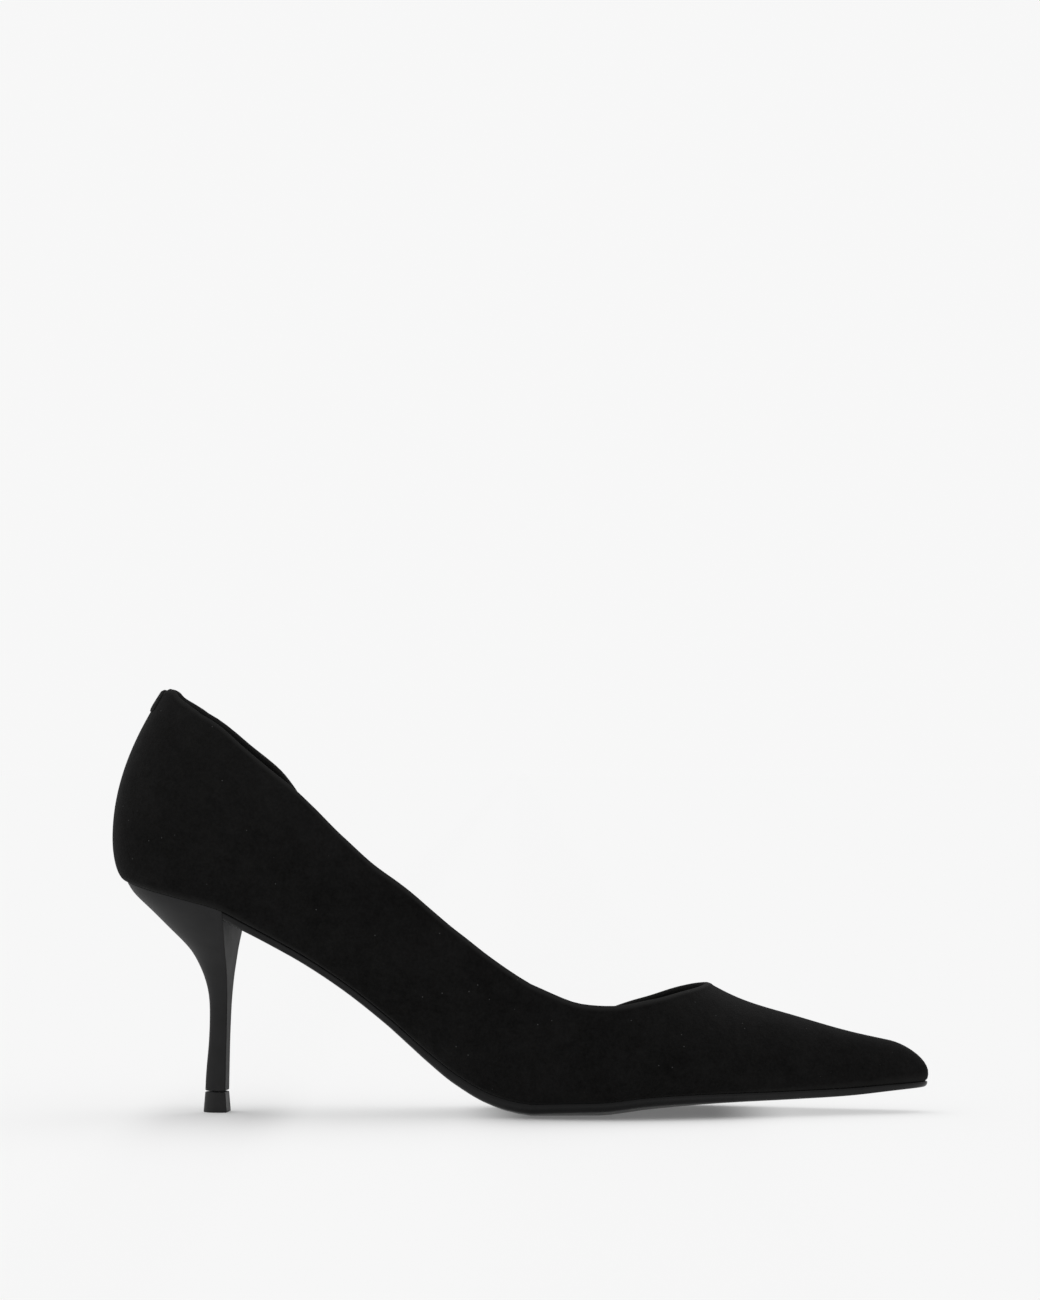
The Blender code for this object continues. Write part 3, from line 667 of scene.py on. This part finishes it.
def suede_grid():
    loops = np.array([suede_line(x, side) for x, side in STATIONS])
    outer = loops[:, 1 : OUTER_ROWS + 1]
    along = np.roll(outer, -1, axis=0) - np.roll(outer, 1, axis=0)
    normals = np.cross(along, np.gradient(outer, axis=1))
    normals /= np.maximum(np.linalg.norm(normals, axis=2, keepdims=True), TINY)
    steps = np.linalg.norm(np.diff(outer, axis=1), axis=2)
    for i, (x, side) in enumerate(STATIONS):
        down = np.concatenate([np.cumsum(steps[i, ::-1])[::-1], [0]]) + UPPER_WALL / 2
        turn = math.acos(max(-1, 1 - x / HEEL_CENTRE_X)) if x < HEEL_CENTRE_X else 1
        outer[i] += normals[i] * surface_relief(x, side, down, turn * HEEL_CENTRE_X)[:, None]
    return np.concatenate([loops, loops[:1]])


def lining_line(x, side):
    """A closed loop through the lining at one station, up behind the suede and down the inside."""
    behind, inside = skin_path(x, side, SUEDE + LINING_GAP), skin_path(x, side, UPPER_WALL - LINING_GAP)
    top = UPPER_WALL / 2 + FOLD_INSIDE + LINING_GAP
    back = from_end(behind, skin_distances(path_length(behind), top))
    front = from_end(inside, skin_distances(path_length(inside), top))[::-1]
    ends = margin_point(x, side, SUEDE + LINING_GAP), margin_point(x, side, UPPER_WALL - LINING_GAP)
    return np.concatenate([ends[0], back, front, ends[1], ends[0]])


def lining_grid():
    loops = np.array([lining_line(x, side) for x, side in STATIONS])
    return np.concatenate([loops, loops[:1]])


def grids_mesh(grids, pale=None):
    """One closed mesh from grids of points in last coordinates, joined where they meet, ends covered.

    pale gives the rows their values of the attribute of that name, which holds painted light."""
    mesh = bmesh.new()
    layer = mesh.verts.layers.float.new("pale") if pale is not None else None
    for points in grids:
        mapped_grid(mesh, np.asarray(points) - ORIGIN, layer, pale)
    bmesh.ops.remove_doubles(mesh, verts=mesh.verts, dist=MERGE)
    bmesh.ops.dissolve_degenerate(mesh, edges=mesh.edges, dist=MERGE / 2)
    bmesh.ops.holes_fill(mesh, edges=mesh.edges, sides=0)
    bmesh.ops.recalc_face_normals(mesh, faces=mesh.faces)
    return mesh


def round_corners(mesh, angle, size, segments):
    """Rounds the edges where a closed mesh turns by more than an angle in degrees."""
    limit = math.radians(angle)
    corners = [edge for edge in mesh.edges if edge.is_manifold and edge.calc_face_angle() > limit]
    bmesh.ops.bevel(mesh, geom=corners, offset=size, segments=segments, profile=0.5, affect="EDGES",
                    material=-1)
    return mesh


def add_object(name, data):
    made = bpy.data.objects.new(name, data)
    bpy.context.scene.collection.objects.link(made)
    return made


def dress(name, mesh, material, slot, *nodes):
    """A piece of the visual model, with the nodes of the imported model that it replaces."""
    data = bpy.data.meshes.new(name)
    mesh.to_mesh(data)
    mesh.free()
    data.shade_smooth()
    data.set_sharp_from_angle(angle=math.radians(SHADE_ANGLE))
    data.materials.append(material)
    piece = add_object(name, data)
    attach(piece, "root")
    if nodes:
        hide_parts(*nodes)


def sock_edge(i):
    """Top to bottom of the insole's edge at a station, its upper corner rounded."""
    low = UPPER_WALL + CLEARANCE
    start = EDGE[i] - low * EDGE_OUT[i]
    edge = []
    for turn in np.radians(np.linspace(90, 0, EDGE_TURNS)):
        plan = start + SOCK_EDGE * (1 - math.cos(turn)) * EDGE_IN[i]
        edge.append(bottom_point(plan, low + INSOLE_THICKNESS - SOCK_EDGE * (1 - math.sin(turn))))
    return np.array([*edge, bottom_point(start, low)])


def sock_grid():
    """The insole with its sock, slightly fuller along the middle."""
    loops = []
    for i in range(LAST_STATION + 1):
        loop = plate_loop(sock_edge(i), sock_edge(opposite(i)), insole_top, insole_underside)
        shares = np.linspace(-1, 1, CROSS_STEPS + 1)
        width = np.linalg.norm(loop[CROSS_STEPS] - loop[0])
        crown = SOCK_CROWN * smooth_step(width / SEAT_WIDTH * 2)
        loop[: CROSS_STEPS + 1, 2] += crown * (1 - shares**2) ** CROWN_FALL
        loops.append(loop)
    return loops


def sole_edge(i, ahead):
    """Top to bottom of the sole's edge at a station, with its lower corner rounded."""
    x, _ = STATIONS[i]
    ledge = SOLE_LEDGE - (SOLE_LEDGE + WAIST_INSET) * waist_share(x)
    start = EDGE[i] + ledge * EDGE_OUT[i] + np.array([ahead, 0])
    radius = min(SOLE_EDGE_RADIUS, EDGE_ROUND_SHARE * (sole_top(start) - sole_underside(start)))
    eased = start + TOP_CHAMFER * EDGE_IN[i]
    edge = [bottom_point(eased, sole_top(eased)), bottom_point(start, sole_top(start) - TOP_CHAMFER)]
    for turn in np.radians(np.linspace(0, 90, EDGE_TURNS)):
        plan = start + radius * (1 - math.cos(turn)) * EDGE_IN[i]
        edge.append(bottom_point(plan, sole_underside(plan) + radius * (1 - math.sin(turn))))
    return np.array(edge)


def sole_grid():
    """From the breast of the heel to the tip of the toe."""
    loops = []
    for i in range(BREAST_STATION, LAST_STATION + 1):
        ahead = BREAST_JOINT if i == BREAST_STATION else 0
        edges = sole_edge(i, ahead), sole_edge(opposite(i), ahead)
        loops.append(plate_loop(*edges, sole_top, sole_underside))
    return loops


def heel_rings(seat):
    """The heel's sections, on smooth curves through the table's rows."""
    rear_seat, fore_seat = seat[BREAST_STATION, 2], seat[0, 2]
    foot_z = TOP_LIFT_HEIGHT + CLEARANCE
    foot = (foot_z / rear_seat, foot_z / fore_seat, FOOT_BACK, FOOT_FRONT, HEEL[-1][-1])
    rows = np.array([(1, 1, 0, 0, 0), *HEEL, foot])
    curves = [natural_spline(np.arange(len(rows)), column) for column in rows.T]
    plain = heel_ring(rear_seat, fore_seat, 0, 0, 0)
    rings = [seat]
    for step in np.linspace(0, len(rows) - 1, HEEL_ROWS)[1:]:
        rear, fore, back, front, slim = (float(curve(step)) for curve in curves)
        ring = heel_ring(rear * rear_seat, fore * fore_seat, back, front, slim)
        ring[:, 2] += (seat[:, 2] - plain[:, 2]) * max(0, 1 - step)
        rings.append(ring)
    return rings


def heel_mesh():
    seat = seat_ring()
    mesh = grids_mesh([[closed_ring(ring) for ring in heel_rings(seat)], cover(seat)])
    return round_corners(mesh, CORNER_ANGLE, HEEL_BEVEL, 3)


def top_lift_mesh():
    """Under the heel, a little wider at the floor, its edges eased."""
    foot = heel_foot()
    middle = (foot.min(0) + foot.max(0)) / 2
    rings = []
    for z, flare in ((TOP_LIFT_HEIGHT, 0.0), (0.0, TOP_LIFT_FLARE)):
        ring = foot.copy()
        ring[:, :2] += flare * np.sign(np.round(foot[:, :2] - middle[:2], 4))
        ring[:, 2] = z
        rings.append(closed_ring(ring))
    return round_corners(grids_mesh([rings]), CORNER_ANGLE, LIFT_BEVEL, 2)


def tab_loop(turn, share):
    """The tab's section, a clip over the topline, at an angle from the back seam.

    share is how far out that is: -1 and 1 at the tab's sides, 0 on the seam."""
    side = "medial" if turn > 0 else "lateral"
    x = HEEL_CENTRE_X * (1 - math.cos(turn))
    origin, direction = plan_frame(x, side)
    halves = []
    for wall, length in ((0, TAB_OUTSIDE), (UPPER_WALL, TAB_INSIDE)):
        points = from_end(skin_path(x, side, wall), np.linspace(length, UPPER_WALL / 2, TAB_STEPS))
        halves.append(np.stack([(points[:, :2] - origin) @ direction, points[:, 2]], axis=1))
    start, end = halves[0][-1], halves[1][-1]
    middle, reach = (start + end) / 2, (start - end) / 2
    rise = unit(halves[0][-1] - halves[0][-2]) * UPPER_WALL / 2
    turns = np.linspace(0, math.pi, TAB_STEPS)[1:-1, None]
    fold = middle + reach * np.cos(turns) + rise * np.sin(turns)
    line = np.concatenate([halves[0], fold, halves[1][::-1]])
    down = distances_along(line)
    from_end_edges = np.minimum(down, down[-1] - down)
    from_side_edge = (1 - abs(share)) * TAB_WIDTH / 2
    inward = np.minimum(smooth_step(from_end_edges / TAB_SKIVE), smooth_step(from_side_edge / TAB_SKIVE))
    thickness = TAB_THICKNESS * (TAB_EDGE_SHARE + (1 - TAB_EDGE_SHARE) * inward)
    near, far = moved_out(line, -JOINT), moved_out(line, thickness[:, None])
    loop = np.concatenate([near, far[::-1], near[:1]])
    return np.column_stack([origin + loop[:, :1] * direction, loop[:, 1]])


def tab_mesh():
    widest = TAB_WIDTH / 2 / topline_reach(0, "lateral", 0)
    loops = [tab_loop(share * widest, share) for share in np.linspace(-1, 1, 2 * TAB_STEPS + 1)]
    mesh = grids_mesh([loops], np.full(len(loops[0]), TAB_PAINTED_LIGHT))
    return round_corners(mesh, TAB_ANGLE, TAB_BEVEL, 3)


def stitch_mesh():
    """A row of stitches on the lining, under the folded edge, all the way round."""
    drop = UPPER_WALL / 2 + FOLD_INSIDE + STITCH_DROP
    rows = [from_end(skin_path(x, side, UPPER_WALL), [drop + STITCH_PITCH, drop]) for x, side in STATIONS]
    lower, line = np.array(rows)[:, 0], np.array(rows)[:, 1]
    closed = np.concatenate([line, line[:1]])
    along = distances_along(closed)
    count = int(along[-1] / STITCH_PITCH)
    mesh = bmesh.new()
    for at in (np.arange(count) + 0.5) * along[-1] / count:
        start, end = points_at(closed, along, [at - STITCH_LENGTH / 2, at + STITCH_LENGTH / 2]) - ORIGIN
        i = int(np.searchsorted(along, at)) % len(lower)
        add_stitch(mesh, start, end, line[i] - lower[i])
    bmesh.ops.recalc_face_normals(mesh, faces=mesh.faces)
    return mesh


def add_stitch(mesh, start, end, up):
    """A flattened bead between two points."""
    forward = unit(end - start)
    outward = unit(np.cross(forward, up))
    sideways = np.cross(outward, forward)
    half = STITCH_WIDTH / 2
    for vert in bmesh.ops.create_icosphere(mesh, subdivisions=1, radius=1)["verts"]:
        a, b, c = vert.co
        line = (start + end) / 2 + a * forward * STITCH_LENGTH / 2
        vert.co = line + b * sideways * half + c * outward * half * STITCH_FLATNESS


# Colours of the materials, linear, dark and light
NAP_TONES = (0.0032, 0.0031, 0.0030), (0.0128, 0.0126, 0.0124)
# painted light on the nap: a highlight along the folded edge and on the tab, and light over the shade at the
# feather edge
PAINTED_LIGHT_NAP = (0.0200, 0.0198, 0.0195)
LINT = (0.050, 0.050, 0.050)
LINING_TONES = (0.0075, 0.0072, 0.006), (0.013, 0.0122, 0.0098)
SOCK_TONES = (0.008, 0.0076, 0.0065), (0.014, 0.0132, 0.011)
THREAD_TONES = (0.008, 0.008, 0.008), (0.020, 0.019, 0.018)
SATIN_TONES = (0.0230, 0.0230, 0.0233), (0.0300, 0.0300, 0.0304)
SOLE_TONES = (0.0035, 0.0035, 0.0037), (0.0080, 0.0080, 0.0083)
LIFT_TONES = (0.008, 0.008, 0.008), (0.013, 0.013, 0.013)

# Their roughness, smoothest and roughest
LINING_ROUGHNESS = 0.49, 0.61
SOCK_ROUGHNESS = 0.44, 0.56
SATIN_ROUGHNESS = 0.46, 0.56
SOLE_ROUGHNESS = 0.24, 0.36
LIFT_ROUGHNESS = 0.45, 0.60

# Noises: size in metres, detail and contrast
NAP_PATCHES = 0.014, 3.0, 2.0  # where the nap lies differently
NAP_STROKES = 0.0030, 3.0, 2.0
NAP_GRAIN = 0.0009, 2.0, 2.0
NAP_FIBRES = 0.00045, 2.0, 1.6
LEATHER_WEAR = 0.012, 3.0, 2.0
THREAD_SHINE = 0.0004, 1.0, 2.0
SATIN_CLOUD = 0.006, 4.0, 1.5
SATIN_GRAIN = 0.0006, 2.0, 1.4
RUBBER_CLOUD = 0.004, 4.0, 1.8
RUBBER_GRAIN = 0.00035, 1.0, 1.5
NOISE_ROUGHNESS = 0.55  # of all of them

# Size of the leathers' pebbles
LINING_PEBBLE = 0.0007
SOCK_PEBBLE = 0.0006

# Bumps: depth in metres and strength
NAP_BUMP = 0.00012, 0.6
LEATHER_BUMP = 0.00006, 0.5
SATIN_BUMP = 0.00002, 0.4
RUBBER_BUMP = 0.00003, 0.5

# The suede's nap
PATCH_SHARE = 0.32  # of the way from its dark tone to its light one, for each noise
STROKE_SHARE = 0.30
GRAIN_SHARE = 0.35
PAINTED_TOP_LIGHT_LOW = 0.065  # painted light from above: it grows paler from this height
PAINTED_TOP_LIGHT_HIGH = 0.125  # to this one
PAINTED_TOP_LIGHT_SHARE = 0.30  # by this much
STROKE_DEPTH = 0.6  # of the strokes in the bump, where the fibres have 1
SPECK_CELL = 0.0038  # lint: a place for one speck in each cell of this size
SPECK_RADIUS = 0.00019
SPECK_SHARE = 0.7  # of the places that hold one


def node(tree, kind, inputs=None, **settings):
    """A node with its settings and socket values; a value that is a socket is linked."""
    made = tree.nodes.new("ShaderNode" + kind)
    for key, value in settings.items():
        setattr(made, key, value)
    for key, value in (inputs or {}).items():
        if isinstance(value, bpy.types.NodeSocket):
            tree.links.new(value, made.inputs[key])
        else:
            made.inputs[key].default_value = value
    return made


def maths(tree, operation, *values):
    return node(tree, "Math", dict(enumerate(values)), operation=operation).outputs[0]


def object_place(tree):
    return node(tree, "TexCoord").outputs["Object"]


def between_values(tree, share, low, high):
    """A value that runs from low to high as a share runs from 0 to 1."""
    return node(tree, "MapRange", {"Value": share, "To Min": low, "To Max": high}).outputs[0]


def mix_colours(tree, share, first, second):
    """A colour between two others. Each of them is a socket or three numbers."""
    inputs = {0: share}
    for key, value in ((6, first), (7, second)):
        inputs[key] = value if isinstance(value, bpy.types.NodeSocket) else (*value, 1)
    return node(tree, "Mix", inputs, data_type="RGBA").outputs[2]


def noise_group():
    """Noise at a size in metres on Object coordinates, spread to run from 0 to 1."""
    group = bpy.data.node_groups.new("spread_noise", "ShaderNodeTree")
    for name in ("Size", "Detail", "Contrast"):
        group.interface.new_socket(name, in_out="INPUT", socket_type="NodeSocketFloat")
    group.interface.new_socket("Value", in_out="OUTPUT", socket_type="NodeSocketFloat")
    given = group.nodes.new("NodeGroupInput").outputs
    scale = maths(group, "DIVIDE", 1.0, given["Size"])
    inputs = {"Vector": object_place(group), "Scale": scale, "Detail": given["Detail"]}
    noise = node(group, "TexNoise", {**inputs, "Roughness": NOISE_ROUGHNESS}).outputs["Fac"]
    spread = maths(group, "MULTIPLY_ADD", maths(group, "SUBTRACT", noise, 0.5), given["Contrast"], 0.5)
    limited = node(group, "Clamp", {"Value": spread}).outputs[0]
    group.links.new(limited, group.nodes.new("NodeGroupOutput").inputs["Value"])
    return group


SPREAD_NOISE = noise_group()


def spread_noise(tree, size, detail, contrast):
    inputs = {"Size": size, "Detail": detail, "Contrast": contrast}
    return node(tree, "Group", inputs, node_tree=SPREAD_NOISE).outputs["Value"]


def new_material(name, **constants):
    """A material with a Principled BSDF and the sockets of it that stay the same all over."""
    material = bpy.data.materials.new(name)
    material.use_nodes = True
    shader = material.node_tree.nodes["Principled BSDF"]
    for key, value in constants.items():
        shader.inputs[key.replace("_", " ")].default_value = value
    return material, material.node_tree, shader


def vary(tree, shader, share, tones, roughness):
    """Links a material's colour and roughness to one noise."""
    tree.links.new(mix_colours(tree, share, *tones), shader.inputs["Base Color"])
    tree.links.new(between_values(tree, share, *roughness), shader.inputs["Roughness"])


def bump(tree, shader, height, depth, strength):
    made = node(tree, "Bump", {"Height": height, "Strength": strength, "Distance": depth})
    tree.links.new(made.outputs["Normal"], shader.inputs["Normal"])


def suede_material():
    """Black suede: patches, strokes and grain in its nap, painted light higher up and on its edges, and
    specks of lint.
    """
    material, tree, shader = new_material("black_suede", Roughness=1.0, Specular_IOR_Level=0.02,
                                          Sheen_Weight=0.05, Sheen_Roughness=0.35,
                                          Sheen_Tint=(0.8, 0.8, 0.82, 1))
    strokes = spread_noise(tree, *NAP_STROKES)
    lie = maths(tree, "MULTIPLY", spread_noise(tree, *NAP_PATCHES), PATCH_SHARE)
    lie = maths(tree, "MULTIPLY_ADD", strokes, STROKE_SHARE, lie)
    lie = maths(tree, "MULTIPLY_ADD", spread_noise(tree, *NAP_GRAIN), GRAIN_SHARE, lie)
    # painted light: the nap is paler higher up, as though lit from above
    height = node(tree, "SeparateXYZ", {"Vector": object_place(tree)}).outputs["Z"]
    painted_top_light = node(tree, "MapRange", {"Value": height, "From Min": PAINTED_TOP_LIGHT_LOW, "From Max": PAINTED_TOP_LIGHT_HIGH,
                                      "To Max": PAINTED_TOP_LIGHT_SHARE}).outputs[0]
    nap = mix_colours(tree, maths(tree, "ADD", lie, painted_top_light), *NAP_TONES)
    # painted light from the rows' attribute: a highlight on the fold and the tab, lighter rows where shade
    # falls at the feather edge
    pale = node(tree, "Attribute", attribute_name="pale").outputs["Fac"]
    nap = mix_colours(tree, pale, nap, PAINTED_LIGHT_NAP)
    specks = node(tree, "TexVoronoi", {"Vector": object_place(tree), "Scale": 1 / SPECK_CELL,
                                       "Randomness": 1.0}, feature="F1").outputs
    near = maths(tree, "LESS_THAN", specks["Distance"], SPECK_RADIUS / SPECK_CELL)
    chance = node(tree, "SeparateColor", {"Color": specks["Color"]}).outputs[0]
    lint = maths(tree, "MULTIPLY", near, maths(tree, "GREATER_THAN", chance, 1 - SPECK_SHARE))
    tree.links.new(mix_colours(tree, lint, nap, LINT), shader.inputs["Base Color"])
    fibres = spread_noise(tree, *NAP_FIBRES)
    bump(tree, shader, maths(tree, "MULTIPLY_ADD", strokes, STROKE_DEPTH, fibres), *NAP_BUMP)
    return material


def leather_material(name, tones, roughness, pebble):
    """Smooth lining leather with a fine pebble and slight wear."""
    material, tree, shader = new_material(name, Specular_IOR_Level=0.30)
    vary(tree, shader, spread_noise(tree, *LEATHER_WEAR), tones, roughness)
    inputs = {"Vector": object_place(tree), "Scale": 1 / pebble}
    cells = node(tree, "TexVoronoi", inputs, feature="SMOOTH_F1")
    bump(tree, shader, cells.outputs["Distance"], *LEATHER_BUMP)
    return material


def satin_material():
    """The heel's satin black cover."""
    material, tree, shader = new_material("heel_satin", Specular_IOR_Level=0.04)
    vary(tree, shader, spread_noise(tree, *SATIN_CLOUD), SATIN_TONES, SATIN_ROUGHNESS)
    bump(tree, shader, spread_noise(tree, *SATIN_GRAIN), *SATIN_BUMP)
    return material


def rubber_material(name, tones, roughness, specular):
    """Moulded sole rubber with a fine matt texture and faint scuffs."""
    material, tree, shader = new_material(name, Specular_IOR_Level=specular)
    vary(tree, shader, spread_noise(tree, *RUBBER_CLOUD), tones, roughness)
    bump(tree, shader, spread_noise(tree, *RUBBER_GRAIN), *RUBBER_BUMP)
    return material


def thread_material():
    material, tree, shader = new_material("thread", Roughness=0.6, Specular_IOR_Level=0.3)
    shine = spread_noise(tree, *THREAD_SHINE)
    tree.links.new(mix_colours(tree, shine, *THREAD_TONES), shader.inputs["Base Color"])
    return material


# The photograph's view: the frame is 1040 by 1300 pixels, with the shoe's outer side square to the camera
PHOTO_WIDTH = 1040
PHOTO_HEIGHT = 1300
METRES_PER_PIXEL = 0.0003043
HEEL_BACK_PIXEL = 113  # column of the upper's back
FLOOR_PIXEL = 1111  # row of the floor under the shoe
CAMERA_DISTANCE = 1.5
CAMERA_HEIGHT = 0.105
SENSOR_WIDTH = 36  # millimetres

# The studio
FLOOR_HALF_WIDTH = 60  # metres
FLOOR_GREY = 0.935  # the lit floor's colour and glow together
FLOOR_GLOW = 0.55  # the floor glows as painted light, which keeps its shadows pale
PAINTED_SHADOW_GLOW = 0.15  # less so where the shoe stands, which paints its shadow
PAINTED_SHADOWS = (  # painted shadows, along X: the middle, how far out the glow is least, and where it is whole
    (0.031, 0.026, 0.052),
    (-0.092, 0.010, 0.030),
)
WORLD_LIGHT = 0.60
BACKDROP_GREY = 0.932
LIGHTS = (  # name, direction from the shoe to the light, width in degrees and power
    ("top_light", (-0.1, 0.45, 1.0), 70, 1.3),
    ("left_light", (-1.0, -0.35, 0.45), 50, 0.10),
)


def add_camera():
    """Square to the shoe's outer side, under its top, and tilted up to the middle of the photograph."""
    data = bpy.data.cameras.new("camera")
    data.sensor_width = SENSOR_WIDTH
    data.lens = SENSOR_WIDTH * CAMERA_DISTANCE / (PHOTO_HEIGHT * METRES_PER_PIXEL)
    data.clip_start = 0.05
    camera = add_object("camera", data)
    middle_x = (PHOTO_WIDTH / 2 - HEEL_BACK_PIXEL) * METRES_PER_PIXEL - ORIGIN[0]
    middle_z = (FLOOR_PIXEL - PHOTO_HEIGHT / 2) * METRES_PER_PIXEL
    camera.location = (middle_x, -CAMERA_DISTANCE, CAMERA_HEIGHT)
    rise = math.atan2(middle_z - CAMERA_HEIGHT, CAMERA_DISTANCE)
    camera.rotation_euler = (math.pi / 2 + rise, 0, 0)
    bpy.context.scene.camera = camera


def add_lights():
    """Soft light from wide parts of the sky."""
    for name, direction, width, power in LIGHTS:
        data = bpy.data.lights.new(name, "SUN")
        data.angle = math.radians(width)
        data.energy = power
        add_object(name, data).rotation_euler = Vector(direction).to_track_quat("Z", "Y").to_euler()


def floor_material():
    """White that glows, and glows less where the shoe stands on it: a painted shadow."""
    material, tree, shader = new_material("studio_white", Roughness=1.0, Specular_IOR_Level=0.0,
                                          Emission_Color=(1, 1, 1, 1))
    along = node(tree, "SeparateXYZ", {"Vector": object_place(tree)}).outputs["X"]
    painted_shadow = 0.0
    for middle, least, whole in PAINTED_SHADOWS:
        away = maths(tree, "ABSOLUTE", maths(tree, "SUBTRACT", along, middle))
        near = node(tree, "MapRange", {"Value": away, "From Min": whole, "From Max": least},
                    interpolation_type="SMOOTHSTEP").outputs[0]
        painted_shadow = maths(tree, "MAXIMUM", near, painted_shadow)
    glow = between_values(tree, painted_shadow, FLOOR_GLOW, PAINTED_SHADOW_GLOW)
    tree.links.new(glow, shader.inputs["Emission Strength"])
    greys = [(FLOOR_GREY - amount,) * 3 for amount in (FLOOR_GLOW, PAINTED_SHADOW_GLOW)]
    tree.links.new(mix_colours(tree, painted_shadow, *greys), shader.inputs["Base Color"])
    return material


def add_floor():
    """A pale floor that runs to the horizon."""
    mesh = bmesh.new()
    bmesh.ops.create_grid(mesh, x_segments=1, y_segments=1, size=FLOOR_HALF_WIDTH)
    data = bpy.data.meshes.new("studio_floor")
    mesh.to_mesh(data)
    mesh.free()
    data.materials.append(floor_material())
    add_object("studio_floor", data)


def add_world():
    """The studio's even light. The camera sees it as bright as the lit floor, so no horizon shows."""
    world = bpy.data.worlds.new("studio")
    world.use_nodes = True
    tree = world.node_tree
    seen = node(tree, "LightPath").outputs["Is Camera Ray"]
    strength = node(tree, "Mix", {0: seen, 2: WORLD_LIGHT, 3: BACKDROP_GREY}).outputs[0]
    background = tree.nodes["Background"]
    background.inputs["Color"].default_value = (1, 1, 1, 1)
    tree.links.new(strength, background.inputs["Strength"])
    bpy.context.scene.world = world


def main():
    suede = suede_material()
    lining = leather_material("lining_leather", LINING_TONES, LINING_ROUGHNESS, LINING_PEBBLE)
    sock = leather_material("sock_leather", SOCK_TONES, SOCK_ROUGHNESS, SOCK_PEBBLE)
    rubber = rubber_material("sole_rubber", SOLE_TONES, SOLE_ROUGHNESS, specular=0.20)
    lift = rubber_material("lift_rubber", LIFT_TONES, LIFT_ROUGHNESS, specular=0.30)
    dress("upper_suede", grids_mesh([suede_grid()], painted_light_values()), suede, "suede", "upper")
    dress("upper_lining", grids_mesh([lining_grid()]), lining, "sock")
    dress("lining_stitches", stitch_mesh(), thread_material(), "sock")
    dress("seam_tab", tab_mesh(), suede, "suede", "back_tab")
    dress("sock", grids_mesh([sock_grid()]), sock, "sock", "insole")
    dress("sole", grids_mesh([sole_grid()]), rubber, "rubber", "outsole")
    dress("covered_heel", heel_mesh(), satin_material(), "heel_lacquer", "heel")
    dress("heel_top_lift", top_lift_mesh(), lift, "rubber", "top_lift")
    add_floor()
    add_world()
    add_lights()
    add_camera()
    bpy.context.scene.view_settings.view_transform = "Standard"


main()
